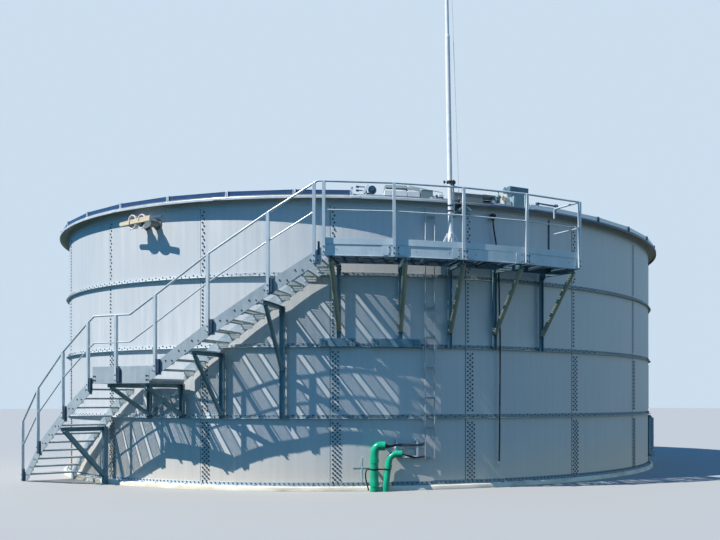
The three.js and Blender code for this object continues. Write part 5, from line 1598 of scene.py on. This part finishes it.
# The inlet stubs are two pipes that leave the wall aslant through flanges, with white coupling
# rings on their ends. A wooden board is tied across them with wire.
stub_aim = polar(1.0, -45.0)
stub_grey = plain_finish("stub_pipe", (0.17, 0.19, 0.20), (0.28, 0.29, 0.28), 0.2, (0.5, 0.65), 10)
ring_white = plain_finish("coupling_white", (0.62, 0.62, 0.64), (0.80, 0.78, 0.80), 0.0, (0.4, 0.55), 10)
stub_shape, ring_shape, bore_shade_shape, stub_bolts = Shape(), Shape(), Shape(), []
coupling_outside = [(-0.150, 0.080), (-0.140, 0.090), (-0.100, 0.112), (-0.030, 0.130), (-0.006, 0.135),
                    (0.0, 0.131)]
coupling_inside = [(0.0, 0.118), (-0.040, 0.104), (-0.095, 0.073), (-0.150, 0.073)]
side = stub_aim.cross(up).normalized()
over = side.cross(stub_aim)
for angle, z, length in ((-36.4, 4.877, 0.318), (-34.28, 4.865, 0.330)):
    root = polar(shell_radius, angle, z)
    mouth = root + stub_aim * length
    pipe(stub_shape, root - stub_aim * 0.030, mouth - stub_aim * 0.040, 0.072, 0.060)
    pipe(stub_shape, polar(shell_radius - 0.006, angle, z), polar(shell_radius + 0.014, angle, z), 0.104,
         0.050)
    # Painted shade: a black disc a little inside each pipe's mouth stands in for the shade in its bore.
    bore_shade_shape.rod(mouth - stub_aim * 0.10, mouth - stub_aim * 0.095, 0.0605, 24)
    ring_shape.loft([[
        mouth + stub_aim * along + radius * (side * cos(2 * pi * i / 28) + over * sin(2 * pi * i / 28))
        for i in range(28)] for along, radius in coupling_outside + coupling_inside], closed=True)
    flange_face = polar(shell_radius + 0.0145, angle, z)
    stub_bolts += [(place, polar(1.0, angle))
                   for place in bolt_circle(flange_face, polar(1.0, angle + 90), 0.086)]
finished("stub_pipes", stub_shape, stub_grey, "inlet_stubs", edge=0.001)
finished("stub_couplings", ring_shape, ring_white, slot="white_paint")
finished("stub_bore_shade", bore_shade_shape, black_plastic, slot="black_rubber")
bolts("stub_bolts", stub_bolts, (0.012, 0.003), (0.009, 0.009))
wood, tree, shader, place = new_finish("board_wood", 0.0, 0.8)
figure = grain(tree, place, 4.0, 6.0, (1.0, 1.0, 22.0))
paint(tree, shader, tones(tree, figure, (0.0, (0.42, 0.34, 0.22)), (1.0, (0.74, 0.66, 0.50))))
emboss(tree, shader, figure, 0.002)
board_shape, wire_shape, clip_shape = Shape(), Shape(), Shape()
board_angle, board_low, board_high = -42.0, 4.828, 4.928
turned_loft(board_shape, [[(x, y, z) for x, z in (
    (0.300, board_low + 0.025), (0.340, board_low), (1.224, board_low + 0.012), (1.228, board_high + 0.008),
    (0.320, board_high - 0.030))] for y in (7.268, 7.302)], board_angle)
finished("stub_board", board_shape, wood, edge=0.003)
for x, z in ((0.634, 4.878), (0.914, 4.893)):
    wire_shape.tube([front_place(
        board_angle, x + 0.004 * sin(3 * radians(a)), 7.285 + 0.023 * cos(radians(a)),
        z + 0.060 * sin(radians(a))) for a in range(0, 361, 30)], 0.003, 8)
wire_shape.tube([front_place(board_angle, *corner) for corner in (
    (0.634, 7.310, 4.883), (0.624, 7.313, 4.823), (0.644, 7.30, 4.763), (0.614, 7.27, 4.723))], 0.003, 8)
finished("stub_wires", wire_shape, rubber, slot="black_rubber")
clip_angle, clip_up = -34.4, (4.985, 5.020)
box(clip_shape, (-0.10, 0.14), (7.034, 7.040), clip_up, clip_angle)
for x in (-0.08, 0.12):
    box(clip_shape, (x - 0.004, x + 0.004), (7.002, 7.040), clip_up, clip_angle)
finished("stub_bracket", clip_shape, rail_finish, edge=0.001)


# The risers are green plastic drain pipes: a thick one and a thin one, each with sockets where its
# lengths join and an elbow at the top. A black strap holds them to a clip on the wall.
green_plastic = plain_finish("green_drain_pipe", (0.004, 0.30, 0.16), (0.02, 0.50, 0.29), 0.0, (0.2, 0.35), 5)
riser_line = 7.195


def riser_place(angle, z):
    return polar(riser_line, angle, z)


def open_pipe(shape, run, radius, wall=0.006, sides=24):
    """A thin pipe along a line of points, open at its last end"""
    outside = rings_along(run, [radius] * len(run), sides)
    inside = rings_along(run[1:], [radius - wall] * (len(run) - 1), sides)
    shape.loft(outside + inside[::-1])


riser_shape, strap_shape = Shape(), Shape()
tall_route = ((0.2, 0.0), (0.2, 0.62), (0.3, 0.74), (0.75, 0.80), (1.65, 0.80))
short_route = ((1.75, 0.0), (1.75, 0.06), (1.95, 0.29), (2.2, 0.52), (2.5, 0.61), (3.1, 0.655), (4.0, 0.655))
for route, steps, radius in ((tall_route, 6, 0.073), (short_route, 5, 0.058)):
    open_pipe(riser_shape, smooth_route([riser_place(*stop) for stop in route], steps), radius)
for low, high, outer, inner in (
        ((0.2, 0.500), (0.2, 0.580), 0.080, 0.072), ((0.2, 0.090), (0.2, 0.180), 0.080, 0.072),
        ((0.95, 0.802), (1.67, 0.800), 0.080, 0.072), ((2.08, 0.40), (2.16, 0.475), 0.064, 0.057),
        ((3.35, 0.656), (4.02, 0.655), 0.064, 0.057)):
    pipe(riser_shape, riser_place(*low), riser_place(*high), outer, inner)
finished("risers", riser_shape, green_plastic, "service_risers", slot="green_plastic")
for angle, radius in ((0.2, 0.0785), (2.03, 0.0635)):
    middle = riser_place(angle, 0.392)
    pipe(strap_shape, middle - up * 0.014, middle + up * 0.014, radius, radius - 0.004)
box(strap_shape, (-0.105, 0.105), (riser_line + 0.010, riser_line + 0.014), (0.380, 0.404), 1.12)
box(strap_shape, (-0.020, 0.020), (7.002, riser_line - 0.060), (0.370, 0.410), 0.2)
finished("riser_strap", strap_shape, black_plastic, slot="black_rubber", edge=0.001)


# The tray is two galvanised bars on two uprights that stand off the wall. Black cables come out
# of the risers and lie along the bars to the ladder.
tray_angle = 4.9
tray_shape = Shape()
for low, high in ((0.753, 0.783), (0.585, 0.615)):
    first = -0.230 if low > 0.7 else -0.190
    turned_loft(tray_shape, [[(x, y, z) for y, z in (
        (7.040, low), (7.070, low), (7.070, low + 0.004), (7.044, low + 0.004), (7.044, high), (7.040, high))]
        for x in (first, 0.315)], tray_angle)
for x in (-0.1875, 0.1825):
    turned_loft(tray_shape, [[(x + dx, y, z) for dx, y in (
        (-0.0175, 7.002), (0.0175, 7.002), (0.0175, 7.006), (-0.0135, 7.006), (-0.0135, 7.072),
        (-0.0175, 7.072))]
        for z in (0.580, 0.905)], tray_angle)
    box(tray_shape, (x - 0.0175, x + 0.0175), (7.068, 7.072), (0.580, 0.905), tray_angle)
finished("tray_bars", tray_shape, rail_finish, "cable_tray", edge=0.001)
tray_cables = Shape()
tray_cable, cable_bend_steps = 0.010, 6
mouth = polar(riser_line, 1.60, 0.800)
for k, (lift, lay) in enumerate(((0.020, 0.800), (-0.004, 0.806), (-0.028, 0.796), (0.030, 0.818))):
    route = [polar(riser_line, 1.25, 0.800 + lift), mouth + up * lift, polar(7.15, 2.3, 0.79 + lift / 2),
             front_place(tray_angle, -0.20, 7.065 + 0.010 * (k % 2), lay),
             front_place(tray_angle, 0.0, 7.056 + 0.012 * (k % 3), lay + 0.004),
             front_place(tray_angle, 0.20, 7.062 + 0.010 * (k % 2), lay - 0.002),
             front_place(tray_angle, 0.318, 7.060 + 0.008 * (k % 3), lay + 0.030)]
    tray_cables.tube(smooth_route(route, cable_bend_steps), tray_cable, 8)
for k in range(2):
    route = [polar(riser_line, 3.6, 0.655), polar(riser_line - 0.01, 4.1, 0.652 - 0.006 * k),
             polar(7.12, 5.2, 0.60 + 0.02 * k), front_place(tray_angle, 0.16, 7.085, 0.575 + 0.014 * k),
             front_place(tray_angle, 0.318, 7.075, 0.600 + 0.012 * k)]
    tray_cables.tube(smooth_route(route, cable_bend_steps), tray_cable, 8)
side_route = [polar(7.20, -0.28, 0.402), polar(7.20, -0.85, 0.384), polar(7.20, -1.03, 0.277),
              polar(7.19, -0.60, 0.02)]
tray_cables.tube(smooth_route(side_route, cable_bend_steps), 0.0125, 8)
finished("tray_cables", tray_cables, rubber, slot="black_rubber")
earth_shape = Shape()
box(earth_shape, (-0.015, 0.015), (7.001, 7.004), (0.060, 0.590), -1.65)
box(earth_shape, (-0.160, 0.132), (7.005, 7.008), (0.405, 0.429), -1.65)
finished("earthing_bars", earth_shape, rail_finish)


# The instrument box hangs under the eave: a grey case with a black lens on its left, below a
# white hood of two sloping bars.
instrument_angle, instrument_back = 13.45, 7.0125


def instrument_place(x, out_by, z):
    return front_place(instrument_angle, x, instrument_back + out_by, z)


case_shape, hood_shape, lens_shape = Shape(), Shape(), Shape()
box(case_shape, (-0.058, 0.058), (instrument_back, instrument_back + 0.108), (4.990, 5.108), instrument_angle)
box(case_shape, (-0.050, 0.050), (instrument_back + 0.107, instrument_back + 0.110), (4.998, 5.100),
    instrument_angle)
finished("instrument_case", case_shape, teal_paint, "instrument_box", slot="grey_paint", edge=0.005)
for end in (-0.125, 0.125):
    beam(hood_shape, instrument_place(0.0, 0.060, 5.170), instrument_place(end, 0.060, 5.070),
         oblong(0.050, -0.030, 0.006))
rods(hood_shape, instrument_place, ((-0.085, 0.08, 5.095), (-0.085, 0.08, 5.030), 0.012, 12))
finished("instrument_hood", hood_shape, hatch_white, slot="white_paint", edge=0.002)
rods(lens_shape, instrument_place, ((-0.105, 0.050, 5.130), (-0.105, 0.105, 5.126), 0.024, 18))
for z in (5.075, 4.985):
    lens_shape.rod(front_place(instrument_angle, -0.175, 7.004, z),
                   front_place(instrument_angle, -0.175, 7.060, z), 0.026)
finished("instrument_lens", lens_shape, black_plastic, slot="black_rubber")


# The gland holds the drop cable at its top: a pale plate on the wall and a black ribbed nut.
gland_angle = cable_route[0][0]
gland_plate = Shape()
box(gland_plate, (-0.060, 0.060), (7.0065, 7.036), (4.945, 5.050), gland_angle)
finished("gland_plate", gland_plate, pale_grey, slot="grey_paint", edge=0.003)
gland_shape = Shape()
box(gland_shape, (-0.034, 0.034), (7.040, 7.115), (4.990, 5.046), gland_angle)
for low, high, radius in ((4.9403, 4.956, 0.030), (4.956, 4.990, 0.050), (4.990, 5.030, 0.056),
                          (5.030, 5.045, 0.046)):
    gland_shape.rod(polar(cable_line, gland_angle, low), polar(cable_line, gland_angle, high), radius, 18)
finished("gland_nut", gland_shape, black_plastic, "cable_gland", slot="black_rubber", edge=0.002)
conduit_shape = Shape()
box(conduit_shape, (-0.010, 0.010), (7.001, 7.018), (4.450, 5.090), 28.7)
finished("wall_conduit", conduit_shape, black_plastic, slot="black_rubber", edge=0.002)


# The cleaning door low on the wall is a coated steel frame with a bolted cover and a sill box
# below it, welded and bolted to the plates.
door_angle = 74.0
door_back = shell_radius + 0.0006
door_low, door_high, rim_width = 0.250, 1.240, 0.062
door_paint = steel_finish("door_coating", (0.28, 0.34, 0.38), (0.44, 0.50, 0.53), 0.3, (0.4, 0.55))
door_shape = Shape()
for across, near, far, low, high in (
        ((-0.450, -0.385), 0.0, 0.050, door_low, door_high),
        ((0.385, 0.450), 0.0, 0.050, door_low, door_high),
        ((-0.450, 0.450), 0.0, 0.050, door_low, door_low + rim_width),
        ((-0.450, 0.450), 0.0, 0.050, door_high - rim_width, door_high),
        ((-0.392, 0.392), 0.004, 0.052, door_low + 0.05, door_high - 0.05),
        ((-0.408, 0.408), 0.052, 0.062, door_low + 0.060, door_high - 0.010),
        ((-0.360, 0.360), 0.062, 0.120, door_low + 0.160, door_high - 0.060),
        ((-0.448, 0.448), 0.045, 0.138, door_low, door_low + 0.128)):
    box(door_shape, across, (door_back + near, door_back + far), (low, high), door_angle)
for side in (-0.18, 0.18):
    door_shape.tube([front_place(door_angle, side + x, door_back + out_by, 0.72) for x, out_by in (
        (-0.06, 0.118), (-0.06, 0.134), (0.06, 0.134), (0.06, 0.118))], 0.006, 10)
finished("door_steel", door_shape, door_paint, "cleaning_door", edge=0.003)
door_bolts = [(-0.385 + 0.77 * i / 11, 0.063, door_high - 0.035) for i in range(12)]
for i in range(10):
    z = door_low + 0.18 + 0.74 * i / 9
    door_bolts += [(-0.384, 0.063, z), (0.384, 0.063, z), (-0.428, 0.051, z), (0.428, 0.051, z)]
bolts("door_bolts", [(front_place(door_angle, x, door_back + out_by, z), polar(1.0, door_angle))
                     for x, out_by, z in door_bolts], (0.014, 0.004), (0.0105, 0.010))
